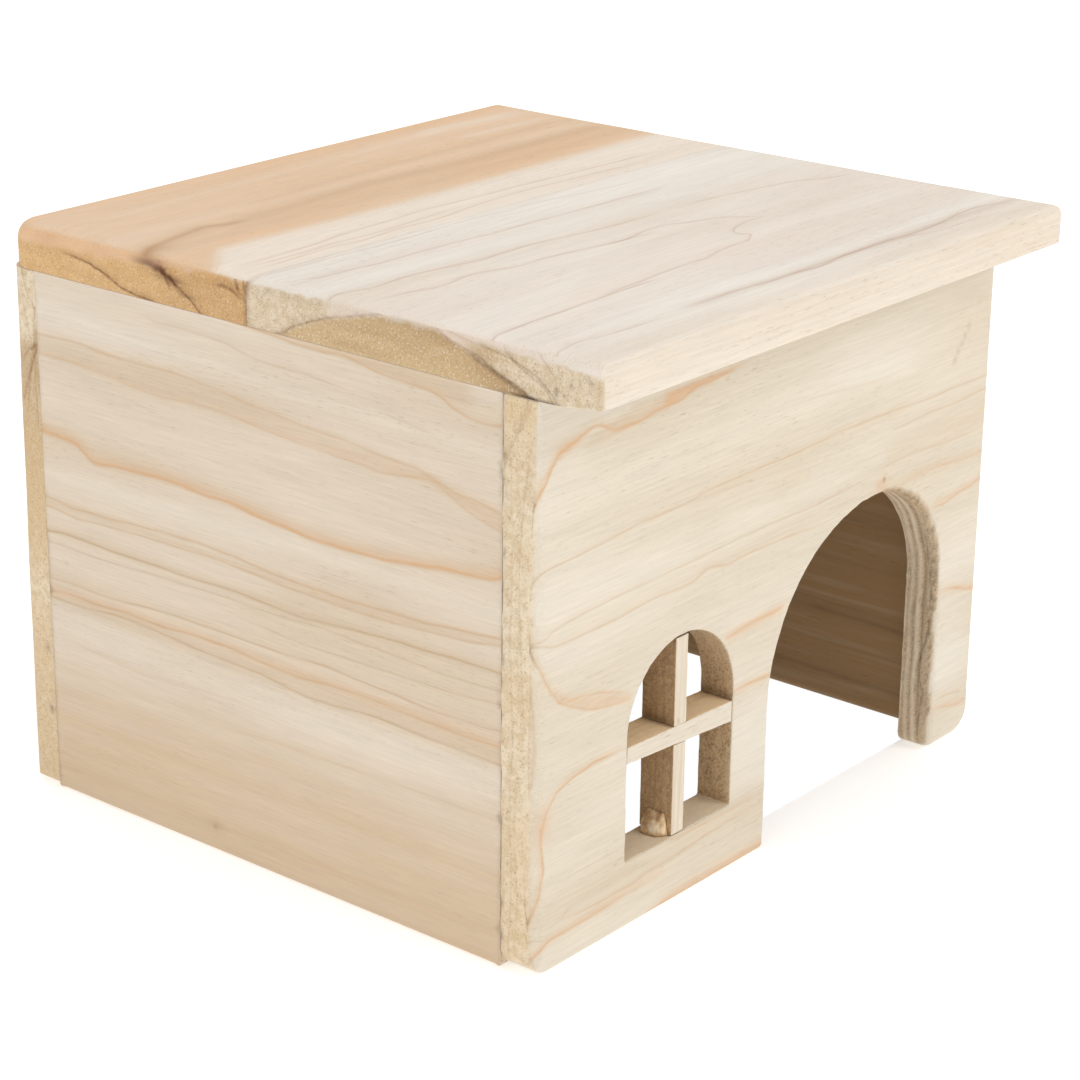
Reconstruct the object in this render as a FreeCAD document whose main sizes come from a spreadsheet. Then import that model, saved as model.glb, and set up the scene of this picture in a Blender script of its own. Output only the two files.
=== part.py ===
import FreeCAD, Part
import Sketcher
import math
import os

from FreeCAD import Vector, Placement, Rotation

# Small wooden house for a hamster: four glued wall boards with an open
# bottom, a roof of two edge-glued boards that overhangs the front, an
# arched doorway, and an arched window with two half-lapped glazing slats.
#
# Frame: X across the front, +Y to the back, +Z up.  The origin is the
# centre of the outline on the plane that the walls stand on.  The
# doorway and the window are in the wall that faces -Y.

doc = FreeCAD.newDocument("hamster_house")
sheet = doc.addObject("Spreadsheet::Sheet", "Dims")

# name, value in millimetres, what it is
DIMS = [
    ("house_width", 150.0, "outline across the front"),
    ("house_depth", 150.0, "roof, front edge to back edge"),
    ("wall_height", 110.8, "height of the four walls"),
    ("board", 8.0, "thickness of the wall boards"),
    ("roof_board", 9.2, "thickness of the two roof boards"),
    ("roof_overhang", 14.0, "roof in front of the front panel"),
    ("roof_rear_depth", 66.5, "depth of the rear roof board"),
    ("door_centre_x", 32.0, "crown of the doorway"),
    ("door_left_radius", 34.75, "left half of the door arch"),
    ("door_right_radius", 26.25, "right half of the door arch"),
    ("door_left_spring", 30.25, "height where the left arc starts"),
    ("door_edge_round", 1.8, "eased front edge of the doorway"),
    ("window_centre_x", -31.5, "middle of the window"),
    ("window_half_width", 16.5, "half the window's width"),
    ("window_sill", 13.8, "height of the sill"),
    ("window_spring", 38.4, "height where the window arch starts"),
    ("upright_left_x", -33.7, "left face of the upright slat"),
    ("upright_width", 3.9, "width of the upright slat"),
    ("crossbar_bottom", 32.7, "underside of the cross slat"),
    ("crossbar_height", 3.9, "height of the cross slat"),
    ("bead_foot", 2.4, "glue bead, reach along the sill"),
    ("bead_climb", 6.2, "glue bead, reach up the slat"),
    ("wall_corner_round", 3.0, "sanded upright corners"),
    ("front_left_round", 3.2, "sanded front left corner"),
    ("foot_round", 4.0, "rounded lower corners of the front panel"),
    ("back_foot_round", 2.0, "rounded lower corners of the back panel"),
    ("arris", 0.8, "broken sharp edge"),
    ("roof_top_round", 2.4, "top edge along the ends, the back and the front"),
    ("roof_rear_round", 5.5, "rear corners of the roof seen from above"),
    ("roof_front_round", 2.5, "front corners of the roof seen from above"),
]
for row, (alias, value, note) in enumerate(DIMS, start=1):
    sheet.set("A%d" % row, alias)
    sheet.set("B%d" % row, repr(value))
    sheet.set("C%d" % row, note)
    sheet.setAlias("B%d" % row, alias)
doc.recompute()


def dim(alias):
    return float(sheet.get(alias))


def plane(body, role):
    for feature in body.Origin.OriginFeatures:
        if feature.Role == role:
            return feature
    raise RuntimeError("no origin plane " + role)


def new_body(name):
    body = doc.addObject("PartDesign::Body", name)
    body.Label = name
    return body


def new_sketch(body, name, role):
    sketch = body.newObject("Sketcher::SketchObject", name)
    sketch.AttachmentSupport = [(plane(body, role), "")]
    sketch.MapMode = "FlatFace"
    return sketch


def con(sketch, *args):
    return sketch.addConstraint(Sketcher.Constraint(*args))


def driven(sketch, expression, kind, *args):
    """A dimensional constraint bound to the sheet."""
    index = con(sketch, kind, *args)
    sketch.setExpression("Constraints[%d]" % index, expression)
    return index


def rectangle(sketch, x0, x1, z0, z1, ex0, ex1, ez0, ez1):
    """Rectangle with its four sides bound to the sheet. Expressions give
    the signed distance of each side from the sketch origin."""
    corners = [Vector(x0, z0, 0), Vector(x1, z0, 0), Vector(x1, z1, 0), Vector(x0, z1, 0)]
    first = sketch.GeometryCount
    for i in range(4):
        sketch.addGeometry(Part.LineSegment(corners[i], corners[(i + 1) % 4]), False)
    for i in range(4):
        con(sketch, "Coincident", first + i, 2, first + (i + 1) % 4, 1)
    for i in (0, 2):
        con(sketch, "Horizontal", first + i)
    for i in (1, 3):
        con(sketch, "Vertical", first + i)
    driven(sketch, ex0, "DistanceX", -1, 1, first, 1, x0)
    driven(sketch, ex1, "DistanceX", -1, 1, first, 2, x1)
    if ez0 is None:
        con(sketch, "PointOnObject", first, 1, -1)
    else:
        driven(sketch, ez0, "DistanceY", -1, 1, first, 1, z0)
    driven(sketch, ez1, "DistanceY", -1, 1, first + 1, 2, z1)
    return first


def pad(body, sketch, expression, reverse=False):
    feature = body.newObject("PartDesign::Pad", sketch.Name.replace("_profile", "") + "_pad")
    feature.Profile = sketch
    feature.Length = 8
    feature.setExpression("Length", expression)
    feature.Reversed = reverse
    doc.recompute()
    return feature


def pocket(body, sketch, expression, reverse, least):
    """Cuts the sketch and makes sure that material went."""
    before = body.Shape.Volume
    feature = body.newObject("PartDesign::Pocket", sketch.Name.replace("_profile", "") + "_cut")
    feature.Profile = sketch
    feature.Length = 8
    feature.setExpression("Length", expression)
    feature.Reversed = reverse
    doc.recompute()
    removed = before - body.Shape.Volume
    if removed < least:
        raise RuntimeError("%s removed %.1f mm3 of at least %.1f" % (feature.Name, removed, least))
    return feature


def edges_where(shape, test):
    names = []
    for i, edge in enumerate(shape.Edges, start=1):
        box = edge.BoundBox
        if test(edge, box):
            names.append("Edge%d" % i)
    return names


def fillet(body, base, names, expression, name):
    if not names:
        raise RuntimeError("no edge for " + name)
    feature = body.newObject("PartDesign::Fillet", name)
    feature.Base = (base, names)
    feature.Radius = 1
    feature.setExpression("Radius", expression)
    doc.recompute()
    if feature.State and "Invalid" in feature.State:
        raise RuntimeError(name + " failed")
    return feature


def rounded_corner(body, name, role, corner, inward, alias, ex, ey):
    """Takes one outer corner off the whole board: the material outside a
    quarter circle. corner is the sharp corner in the plane of the sketch,
    ex and ey give it from the sheet, and inward points into the board."""
    r = dim(alias)
    ix, iy = inward
    x, y = corner
    ox, oy = x + ix * r, y + iy * r
    sketch = new_sketch(body, name, role)
    a = Vector(ox, y, 0)
    b = Vector(x, oy, 0)
    p = Vector(ox, y - iy, 0)
    c = Vector(x - ix, y - iy, 0)
    q = Vector(x - ix, oy, 0)
    sketch.addGeometry(Part.LineSegment(a, p), False)
    sketch.addGeometry(Part.LineSegment(p, c), False)
    sketch.addGeometry(Part.LineSegment(c, q), False)
    sketch.addGeometry(Part.LineSegment(q, b), False)
    angle_a = math.atan2(a.y - oy, a.x - ox)
    angle_b = math.atan2(b.y - oy, b.x - ox)
    turn = (angle_a - angle_b) % (2 * math.pi)
    if turn < math.pi:
        start, end, end_b, end_a = angle_b, angle_b + turn, 1, 2
    else:
        start, end, end_b, end_a = angle_a, angle_a + 2 * math.pi - turn, 2, 1
    sketch.addGeometry(Part.ArcOfCircle(Part.Circle(Vector(ox, oy, 0), Vector(0, 0, 1), r), start, end), False)
    con(sketch, "Coincident", 0, 2, 1, 1)
    con(sketch, "Coincident", 1, 2, 2, 1)
    con(sketch, "Coincident", 2, 2, 3, 1)
    con(sketch, "Coincident", 3, 2, 4, end_b)
    con(sketch, "Coincident", 4, end_a, 0, 1)
    con(sketch, "Vertical", 0)
    con(sketch, "Horizontal", 1)
    con(sketch, "Vertical", 2)
    con(sketch, "Horizontal", 3)
    con(sketch, "Vertical", 0, 1, 4, 3)
    con(sketch, "Horizontal", 3, 2, 4, 3)
    driven(sketch, "Dims." + alias, "Radius", 4, r)
    driven(sketch, "%s %s Dims.%s" % (ex, "+" if ix > 0 else "-", alias), "DistanceX", -1, 1, 4, 3, ox)
    driven(sketch, "%s %s Dims.%s" % (ey, "+" if iy > 0 else "-", alias), "DistanceY", -1, 1, 4, 3, oy)
    driven(sketch, "%s %s 1" % (ex, "-" if ix > 0 else "+"), "DistanceX", -1, 1, 2, 1, x - ix)
    driven(sketch, "%s %s 1" % (ey, "-" if iy > 0 else "+"), "DistanceY", -1, 1, 2, 1, y - iy)
    before = body.Shape.Volume
    cut = body.newObject("PartDesign::Pocket", name + "_cut")
    cut.Profile = sketch
    cut.Type = 1
    cut.Midplane = True
    doc.recompute()
    if before - body.Shape.Volume < 0.5:
        raise RuntimeError(cut.Name + " removed nothing")
    return cut


def near(a, b, tol=0.02):
    return abs(a - b) < tol


def upright(box, x, y):
    """A straight vertical edge at (x, y)."""
    return near(box.XMin, x) and near(box.XMax, x) and near(box.YMin, y) and near(box.YMax, y)


half_w = dim("house_width") / 2
height = dim("wall_height")
board = dim("board")
front_y = -dim("house_depth") / 2 + dim("roof_overhang")

# ---------------------------------------------------------------- front
# The board covers the ends of the side panels. Its outer face is at the
# local y = -board, so that the placement carries the inner face.
front = new_body("front_panel")
sk = new_sketch(front, "front_profile", "XZ_Plane")

cx = dim("door_centre_x")
rl, rr = dim("door_left_radius"), dim("door_right_radius")
zl = dim("door_left_spring")
apex = zl + rl
zr = apex - rr
points = [
    (-half_w, 0.0), (cx - rl, 0.0), (cx - rl, zl), (cx, apex),
    (cx + rr, zr), (cx + rr, 0.0), (half_w, 0.0), (half_w, height), (-half_w, height),
]
V = [Vector(x, z, 0) for x, z in points]
XY = Vector(0, 0, 1)
sk.addGeometry(Part.LineSegment(V[0], V[1]), False)                                  # 0 left foot
sk.addGeometry(Part.LineSegment(V[1], V[2]), False)                                  # 1 left jamb
sk.addGeometry(Part.ArcOfCircle(Part.Circle(Vector(cx, zl, 0), XY, rl), math.pi / 2, math.pi), False)  # 2
sk.addGeometry(Part.ArcOfCircle(Part.Circle(Vector(cx, zr, 0), XY, rr), 0, math.pi / 2), False)        # 3
sk.addGeometry(Part.LineSegment(V[4], V[5]), False)                                  # 4 right jamb
sk.addGeometry(Part.LineSegment(V[5], V[6]), False)                                  # 5 right foot
sk.addGeometry(Part.LineSegment(V[6], V[7]), False)                                  # 6 right end
sk.addGeometry(Part.LineSegment(V[7], V[8]), False)                                  # 7 top
sk.addGeometry(Part.LineSegment(V[8], V[0]), False)                                  # 8 left end
con(sk, "Coincident", 0, 2, 1, 1)
con(sk, "Coincident", 1, 2, 2, 2)   # the arc ends at its left spring
con(sk, "Coincident", 2, 1, 3, 2)   # crown
con(sk, "Coincident", 3, 1, 4, 1)
con(sk, "Coincident", 4, 2, 5, 1)
con(sk, "Coincident", 5, 2, 6, 1)
con(sk, "Coincident", 6, 2, 7, 1)
con(sk, "Coincident", 7, 2, 8, 1)
con(sk, "Coincident", 8, 2, 0, 1)
con(sk, "Horizontal", 0)
con(sk, "Vertical", 1)
con(sk, "Vertical", 4)
con(sk, "Horizontal", 5)
con(sk, "Vertical", 6)
con(sk, "Horizontal", 7)
con(sk, "Vertical", 8)
con(sk, "Horizontal", 2, 2, 2, 3)   # left spring level with its centre
con(sk, "Vertical", 2, 1, 2, 3)     # crown above both centres
con(sk, "Vertical", 3, 2, 3, 3)
con(sk, "Horizontal", 3, 1, 3, 3)   # right spring level with its centre
con(sk, "PointOnObject", 0, 1, -1)
con(sk, "PointOnObject", 5, 1, -1)
driven(sk, "-Dims.house_width / 2", "DistanceX", -1, 1, 0, 1, -half_w)
driven(sk, "Dims.house_width / 2", "DistanceX", -1, 1, 6, 1, half_w)
driven(sk, "Dims.wall_height", "DistanceY", -1, 1, 7, 1, height)
driven(sk, "Dims.door_centre_x", "DistanceX", -1, 1, 2, 3, cx)
driven(sk, "Dims.door_left_spring", "DistanceY", -1, 1, 2, 3, zl)
driven(sk, "Dims.door_left_radius", "Radius", 2, rl)
driven(sk, "Dims.door_right_radius", "Radius", 3, rr)
base = pad(front, sk, "Dims.board")
if front.Shape.BoundBox.YMin > -board + 0.01:
    raise RuntimeError("the front panel was padded the wrong way")

# window: a rectangle under a half circle
sk = new_sketch(front, "window_profile", "XZ_Plane")
wx, wr = dim("window_centre_x"), dim("window_half_width")
ws, wz = dim("window_sill"), dim("window_spring")
sk.addGeometry(Part.LineSegment(Vector(wx - wr, ws, 0), Vector(wx + wr, ws, 0)), False)   # 0 sill
sk.addGeometry(Part.LineSegment(Vector(wx + wr, ws, 0), Vector(wx + wr, wz, 0)), False)   # 1 right jamb
sk.addGeometry(Part.ArcOfCircle(Part.Circle(Vector(wx, wz, 0), XY, wr), 0, math.pi), False)  # 2 head
sk.addGeometry(Part.LineSegment(Vector(wx - wr, wz, 0), Vector(wx - wr, ws, 0)), False)   # 3 left jamb
con(sk, "Coincident", 0, 2, 1, 1)
con(sk, "Coincident", 1, 2, 2, 1)
con(sk, "Coincident", 2, 2, 3, 1)
con(sk, "Coincident", 3, 2, 0, 1)
con(sk, "Horizontal", 0)
con(sk, "Vertical", 1)
con(sk, "Vertical", 3)
con(sk, "Horizontal", 2, 1, 2, 3)
con(sk, "Horizontal", 2, 2, 2, 3)
driven(sk, "Dims.window_centre_x", "DistanceX", -1, 1, 2, 3, wx)
driven(sk, "Dims.window_spring", "DistanceY", -1, 1, 2, 3, wz)
driven(sk, "Dims.window_half_width", "Radius", 2, wr)
driven(sk, "Dims.window_sill", "DistanceY", -1, 1, 0, 1, ws)
base = pocket(front, sk, "Dims.board", True, 8 * 30 * 24)

# sanded edges: the two outer upright corners, the lower corners in the
# plane of the board, and the front edge of the doorway
shape = front.Shape
names = edges_where(shape, lambda e, b: upright(b, -half_w, -board))
base = fillet(front, base, names, "Dims.front_left_round", "front_left_corner")
shape = front.Shape
names = edges_where(shape, lambda e, b: upright(b, half_w, -board))
base = fillet(front, base, names, "Dims.wall_corner_round", "front_right_corner")
shape = front.Shape


def on_door(edge, box):
    return (near(box.YMin, -board) and near(box.YMax, -board) and box.ZMax > 5
            and box.XMin > cx - rl - 0.05 and box.XMax < cx + rr + 0.05
            and box.ZMax < apex + 0.05)


names = edges_where(shape, on_door)
base = fillet(front, base, names, "Dims.door_edge_round", "doorway_edge")
base = rounded_corner(front, "front_foot_left", "XZ_Plane", (-half_w, 0), (1, 1), "foot_round",
                      "-Dims.house_width / 2", "0 * Dims.board")
base = rounded_corner(front, "front_foot_right", "XZ_Plane", (half_w, 0), (-1, 1), "foot_round",
                      "Dims.house_width / 2", "0 * Dims.board")
front.Placement = Placement(Vector(0, front_y + board, 0), Rotation())
front.setExpression("Placement.Base.y", "-Dims.house_depth / 2 + Dims.roof_overhang + Dims.board")

# ----------------------------------------------------------------- back
back = new_body("back_panel")
sk = new_sketch(back, "back_profile", "XZ_Plane")
rectangle(sk, -half_w, half_w, 0, height,
          "-Dims.house_width / 2", "Dims.house_width / 2", None, "Dims.wall_height")
base = pad(back, sk, "Dims.board", True)   # towards +Y
back_outer = board
shape = back.Shape
names = edges_where(shape, lambda e, b: near(b.YMin, back_outer) and near(b.YMax, back_outer)
                    and b.ZLength > 50)
base = fillet(back, base, names, "Dims.wall_corner_round", "back_corners")
base = rounded_corner(back, "back_foot_left", "XZ_Plane", (-half_w, 0), (1, 1), "back_foot_round",
                      "-Dims.house_width / 2", "0 * Dims.board")
base = rounded_corner(back, "back_foot_right", "XZ_Plane", (half_w, 0), (-1, 1), "back_foot_round",
                      "Dims.house_width / 2", "0 * Dims.board")
back.Placement = Placement(Vector(0, dim("house_depth") / 2 - board, 0), Rotation())
back.setExpression("Placement.Base.y", "Dims.house_depth / 2 - Dims.board")

# ---------------------------------------------------------------- sides
side_depth = dim("house_depth") - dim("roof_overhang") - 2 * board
for name, sign in (("left_side_panel", -1), ("right_side_panel", 1)):
    side = new_body(name)
    sk = new_sketch(side, name.replace("_panel", "") + "_profile", "YZ_Plane")
    length = "Dims.house_depth - Dims.roof_overhang - 2 * Dims.board"
    rectangle(sk, 0, side_depth, 0, height, "0 * Dims.board", length, None, "Dims.wall_height")
    base = pad(side, sk, "Dims.board")
    shape = side.Shape
    # outer lower edge, lightly broken
    outer = 0.0 if sign < 0 else board
    names = edges_where(shape, lambda e, b: near(b.XMin, outer) and near(b.XMax, outer)
                        and near(b.ZMax, 0) and b.YLength > 50)
    base = fillet(side, base, names, "Dims.arris", name.replace("_panel", "") + "_arris")
    x0 = -half_w if sign < 0 else half_w - board
    side.Placement = Placement(Vector(x0, front_y + board, 0), Rotation())
    side.setExpression("Placement.Base.x", "-Dims.house_width / 2" if sign < 0
                       else "Dims.house_width / 2 - Dims.board")
    side.setExpression("Placement.Base.y", "-Dims.house_depth / 2 + Dims.roof_overhang + Dims.board")

# ----------------------------------------------------------------- roof
# Two boards, glued edge to edge. Each has its own rounded outer corners;
# the glued edges stay square so that they meet face to face.
half_d = dim("house_depth") / 2
rear_depth = dim("roof_rear_depth")
front_depth = dim("house_depth") - rear_depth
thick = dim("roof_board")


for name, low, high, outer_y, expr0, expr1 in (
    ("roof_rear_board", 0.0, rear_depth, rear_depth, "0 * Dims.board", "Dims.roof_rear_depth"),
    ("roof_front_board", 0.0, front_depth, 0.0, "0 * Dims.board", "Dims.house_depth - Dims.roof_rear_depth"),
):
    body = new_body(name)
    short = name.replace("_board", "")
    sk = new_sketch(body, short + "_profile", "XY_Plane")
    rectangle(sk, -half_w, half_w, low, high,
              "-Dims.house_width / 2", "Dims.house_width / 2", expr0, expr1)
    base = pad(body, sk, "Dims.roof_board")
    edge_expr = expr1 if name == "roof_rear_board" else expr0
    inward_y = -1 if name == "roof_rear_board" else 1
    plan_round = "roof_rear_round" if name == "roof_rear_board" else "roof_front_round"
    base = rounded_corner(body, short + "_corner_left", "XY_Plane", (-half_w, outer_y), (1, inward_y),
                          plan_round, "-Dims.house_width / 2", edge_expr)
    base = rounded_corner(body, short + "_corner_right", "XY_Plane", (half_w, outer_y), (-1, inward_y),
                          plan_round, "Dims.house_width / 2", edge_expr)
    # the round-over runs along both ends and the outer edge in one chain
    glued_y = low if name == "roof_rear_board" else high
    shape = body.Shape
    names = edges_where(shape, lambda e, b: near(b.ZMin, thick) and near(b.ZMax, thick)
                        and not (near(b.YMin, glued_y) and near(b.YMax, glued_y)))
    base = fillet(body, base, names, "Dims.roof_top_round", short + "_top_edge")
    y0 = half_d - rear_depth if name == "roof_rear_board" else -half_d
    body.Placement = Placement(Vector(0, y0, height), Rotation())
    body.setExpression("Placement.Base.z", "Dims.wall_height")
    body.setExpression("Placement.Base.y", "Dims.house_depth / 2 - Dims.roof_rear_depth"
                       if name == "roof_rear_board" else "-Dims.house_depth / 2")

# --------------------------------------------------------------- window
# Two slats as deep as the board, halved where they cross: the cross slat
# is whole at the front, the upright behind it.
ux, uw = dim("upright_left_x"), dim("upright_width")
cz, ch = dim("crossbar_bottom"), dim("crossbar_height")

slat = new_body("window_muntin_vertical")
sk = new_sketch(slat, "upright_profile", "XZ_Plane")
zl_top = wz + math.sqrt(wr * wr - (ux - wx) ** 2)
zr_top = wz + math.sqrt(wr * wr - (ux + uw - wx) ** 2)
a_left = math.atan2(zl_top - wz, ux - wx)
a_right = math.atan2(zr_top - wz, ux + uw - wx)
sk.addGeometry(Part.LineSegment(Vector(ux, ws, 0), Vector(ux + uw, ws, 0)), False)             # 0 foot
sk.addGeometry(Part.LineSegment(Vector(ux + uw, ws, 0), Vector(ux + uw, zr_top, 0)), False)    # 1 right
sk.addGeometry(Part.ArcOfCircle(Part.Circle(Vector(wx, wz, 0), XY, wr), a_right, a_left), False)  # 2 head
sk.addGeometry(Part.LineSegment(Vector(ux, zl_top, 0), Vector(ux, ws, 0)), False)              # 3 left
con(sk, "Coincident", 0, 2, 1, 1)
con(sk, "Coincident", 1, 2, 2, 1)
con(sk, "Coincident", 2, 2, 3, 1)
con(sk, "Coincident", 3, 2, 0, 1)
con(sk, "Horizontal", 0)
con(sk, "Vertical", 1)
con(sk, "Vertical", 3)
driven(sk, "Dims.window_centre_x", "DistanceX", -1, 1, 2, 3, wx)
driven(sk, "Dims.window_spring", "DistanceY", -1, 1, 2, 3, wz)
driven(sk, "Dims.window_half_width", "Radius", 2, wr)
driven(sk, "Dims.window_sill", "DistanceY", -1, 1, 0, 1, ws)
driven(sk, "Dims.upright_left_x", "DistanceX", -1, 1, 0, 1, ux)
driven(sk, "Dims.upright_left_x + Dims.upright_width", "DistanceX", -1, 1, 0, 2, ux + uw)
base = pad(slat, sk, "Dims.board")
sk = new_sketch(slat, "upright_lap_profile", "YZ_Plane")
rectangle(sk, -board, -board / 2, cz, cz + ch, "-Dims.board", "-Dims.board / 2",
          "Dims.crossbar_bottom", "Dims.crossbar_bottom + Dims.crossbar_height")
before = slat.Shape.Volume
lap = slat.newObject("PartDesign::Pocket", "upright_lap_cut")
lap.Profile = sk
lap.Type = 1
lap.Midplane = True
doc.recompute()
if abs(before - slat.Shape.Volume - uw * ch * board / 2) > 0.5:
    raise RuntimeError("the upright's lap is wrong: %.2f" % (before - slat.Shape.Volume))
slat.Placement = Placement(Vector(0, front_y + board, 0), Rotation())
slat.setExpression("Placement.Base.y", "-Dims.house_depth / 2 + Dims.roof_overhang + Dims.board")

slat = new_body("window_muntin_horizontal")
sk = new_sketch(slat, "crossbar_profile", "XZ_Plane")
rectangle(sk, wx - wr, wx + wr, cz, cz + ch,
          "Dims.window_centre_x - Dims.window_half_width",
          "Dims.window_centre_x + Dims.window_half_width",
          "Dims.crossbar_bottom", "Dims.crossbar_bottom + Dims.crossbar_height")
base = pad(slat, sk, "Dims.board")
sk = new_sketch(slat, "crossbar_lap_profile", "XY_Plane")
rectangle(sk, ux, ux + uw, -board / 2, 0, "Dims.upright_left_x",
          "Dims.upright_left_x + Dims.upright_width", "-Dims.board / 2", "0 * Dims.board")
before = slat.Shape.Volume
lap = slat.newObject("PartDesign::Pocket", "crossbar_lap_cut")
lap.Profile = sk
lap.Type = 1
lap.Midplane = True
doc.recompute()
if abs(before - slat.Shape.Volume - uw * ch * board / 2) > 0.5:
    raise RuntimeError("the cross slat's lap is wrong: %.2f" % (before - slat.Shape.Volume))
slat.Placement = Placement(Vector(0, front_y + board, 0), Rotation())
slat.setExpression("Placement.Base.y", "-Dims.house_depth / 2 + Dims.roof_overhang + Dims.board")

# dried glue at the foot of the upright: the quarter of an egg shape that
# lies above the sill and to the left of the slat
egg = doc.addObject("Part::Ellipsoid", "bead_egg")
egg.Angle1, egg.Angle2, egg.Angle3 = -90, 90, 360
egg.setExpression("Radius1", "Dims.bead_climb")
egg.setExpression("Radius2", "Dims.bead_foot")
egg.setExpression("Radius3", "Dims.board * 0.42")
egg.Placement = Placement(Vector(ux, front_y + board / 2, ws), Rotation())
egg.setExpression("Placement.Base.x", "Dims.upright_left_x")
egg.setExpression("Placement.Base.y", "-Dims.house_depth / 2 + Dims.roof_overhang + Dims.board / 2")
egg.setExpression("Placement.Base.z", "Dims.window_sill")
room = doc.addObject("Part::Box", "bead_room")
room.Length, room.Width, room.Height = 10, 8, 10
room.setExpression("Width", "Dims.board")
room.Placement = Placement(Vector(ux - 10, front_y, ws), Rotation())
room.setExpression("Placement.Base.x", "Dims.upright_left_x - 10")
room.setExpression("Placement.Base.y", "-Dims.house_depth / 2 + Dims.roof_overhang")
room.setExpression("Placement.Base.z", "Dims.window_sill")
doc.recompute()
bead = doc.addObject("Part::Common", "window_glue_bead")
bead.Label = "window_glue_bead"
bead.Base, bead.Tool = egg, room
doc.recompute()

# ---------------------------------------------------------------- write
NODES = [
    "front_panel", "back_panel", "left_side_panel", "right_side_panel",
    "roof_rear_board", "roof_front_board",
    "window_muntin_vertical", "window_muntin_horizontal", "window_glue_bead",
]
for obj in doc.Objects:
    state = list(obj.State)
    if "Invalid" in state or "Error" in state:
        raise RuntimeError("%s is %s" % (obj.Name, state))
os.makedirs("parts", exist_ok=True)
for name in NODES:
    obj = doc.getObject(name)
    shape = obj.Shape
    if shape.isNull() or not shape.isValid() or len(shape.Solids) != 1:
        raise RuntimeError(name + " has no valid single solid")
    box = shape.BoundBox
    print("%-26s %8.1f mm3  x %.2f %.2f  y %.2f %.2f  z %.2f %.2f" % (
        name, shape.Volume, box.XMin, box.XMax, box.YMin, box.YMax, box.ZMin, box.ZMax))
    shape.exportStep("parts/%s.step" % name)
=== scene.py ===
# Small wooden house for a hamster: the looks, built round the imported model.
# Every board is a mesh of its own with worn arrises, saw marks and grain that
# is laid down as growth lines; all lengths in the tables below are millimetres
# in the shared frame, and are turned into metres when a mesh is made.
import math
import bpy
import bmesh
import numpy as np
from mathutils import Matrix, Vector, geometry, noise as mnoise


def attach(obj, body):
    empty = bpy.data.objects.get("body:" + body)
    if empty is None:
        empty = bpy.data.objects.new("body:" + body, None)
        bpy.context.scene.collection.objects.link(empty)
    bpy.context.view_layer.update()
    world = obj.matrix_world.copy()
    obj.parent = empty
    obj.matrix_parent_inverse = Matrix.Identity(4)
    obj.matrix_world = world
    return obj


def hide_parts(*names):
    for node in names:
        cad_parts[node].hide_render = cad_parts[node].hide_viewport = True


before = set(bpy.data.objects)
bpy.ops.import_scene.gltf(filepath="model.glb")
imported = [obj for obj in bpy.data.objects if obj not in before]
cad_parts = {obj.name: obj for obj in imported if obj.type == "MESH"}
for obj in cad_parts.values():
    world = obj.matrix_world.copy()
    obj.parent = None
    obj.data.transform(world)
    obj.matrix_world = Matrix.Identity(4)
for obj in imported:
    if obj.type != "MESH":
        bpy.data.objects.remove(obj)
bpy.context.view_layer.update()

HALF_PI = math.pi / 2


# ---------------------------------------------------------------- helpers

def smooth(x, a, b):
    t = np.clip((np.asarray(x, float) - a) / (b - a), 0.0, 1.0)
    return t * t * (3 - 2 * t)


def bump1(x, centre, width):
    return np.exp(-((np.asarray(x, float) - centre) / width) ** 2)


def wander(x, seed, scale):
    """Smooth, repeatable noise of one variable, about -1..1."""
    x = np.asarray(x, float) / scale
    rng = np.random.RandomState(seed)
    table = rng.uniform(-1, 1, 512)
    i = np.floor(x).astype(int)
    f = x - i
    f = f * f * (3 - 2 * f)
    return table[i % 512] * (1 - f) + table[(i + 1) % 512] * f


def wander2(x, y, seed, sx, sy):
    """Smooth, repeatable noise of two variables, about -1..1."""
    x = np.asarray(x, float) / sx
    y = np.asarray(y, float) / sy
    rng = np.random.RandomState(seed)
    table = rng.uniform(-1, 1, (128, 128))
    i = np.floor(x).astype(int)
    j = np.floor(y).astype(int)
    f = x - i
    g = y - j
    f = f * f * (3 - 2 * f)
    g = g * g * (3 - 2 * g)
    a = table[i % 128, j % 128] * (1 - f) + table[(i + 1) % 128, j % 128] * f
    b = table[i % 128, (j + 1) % 128] * (1 - f) + table[(i + 1) % 128, (j + 1) % 128] * f
    return a * (1 - g) + b * g


# ---------------------------------------------------------------- outlines

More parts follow.
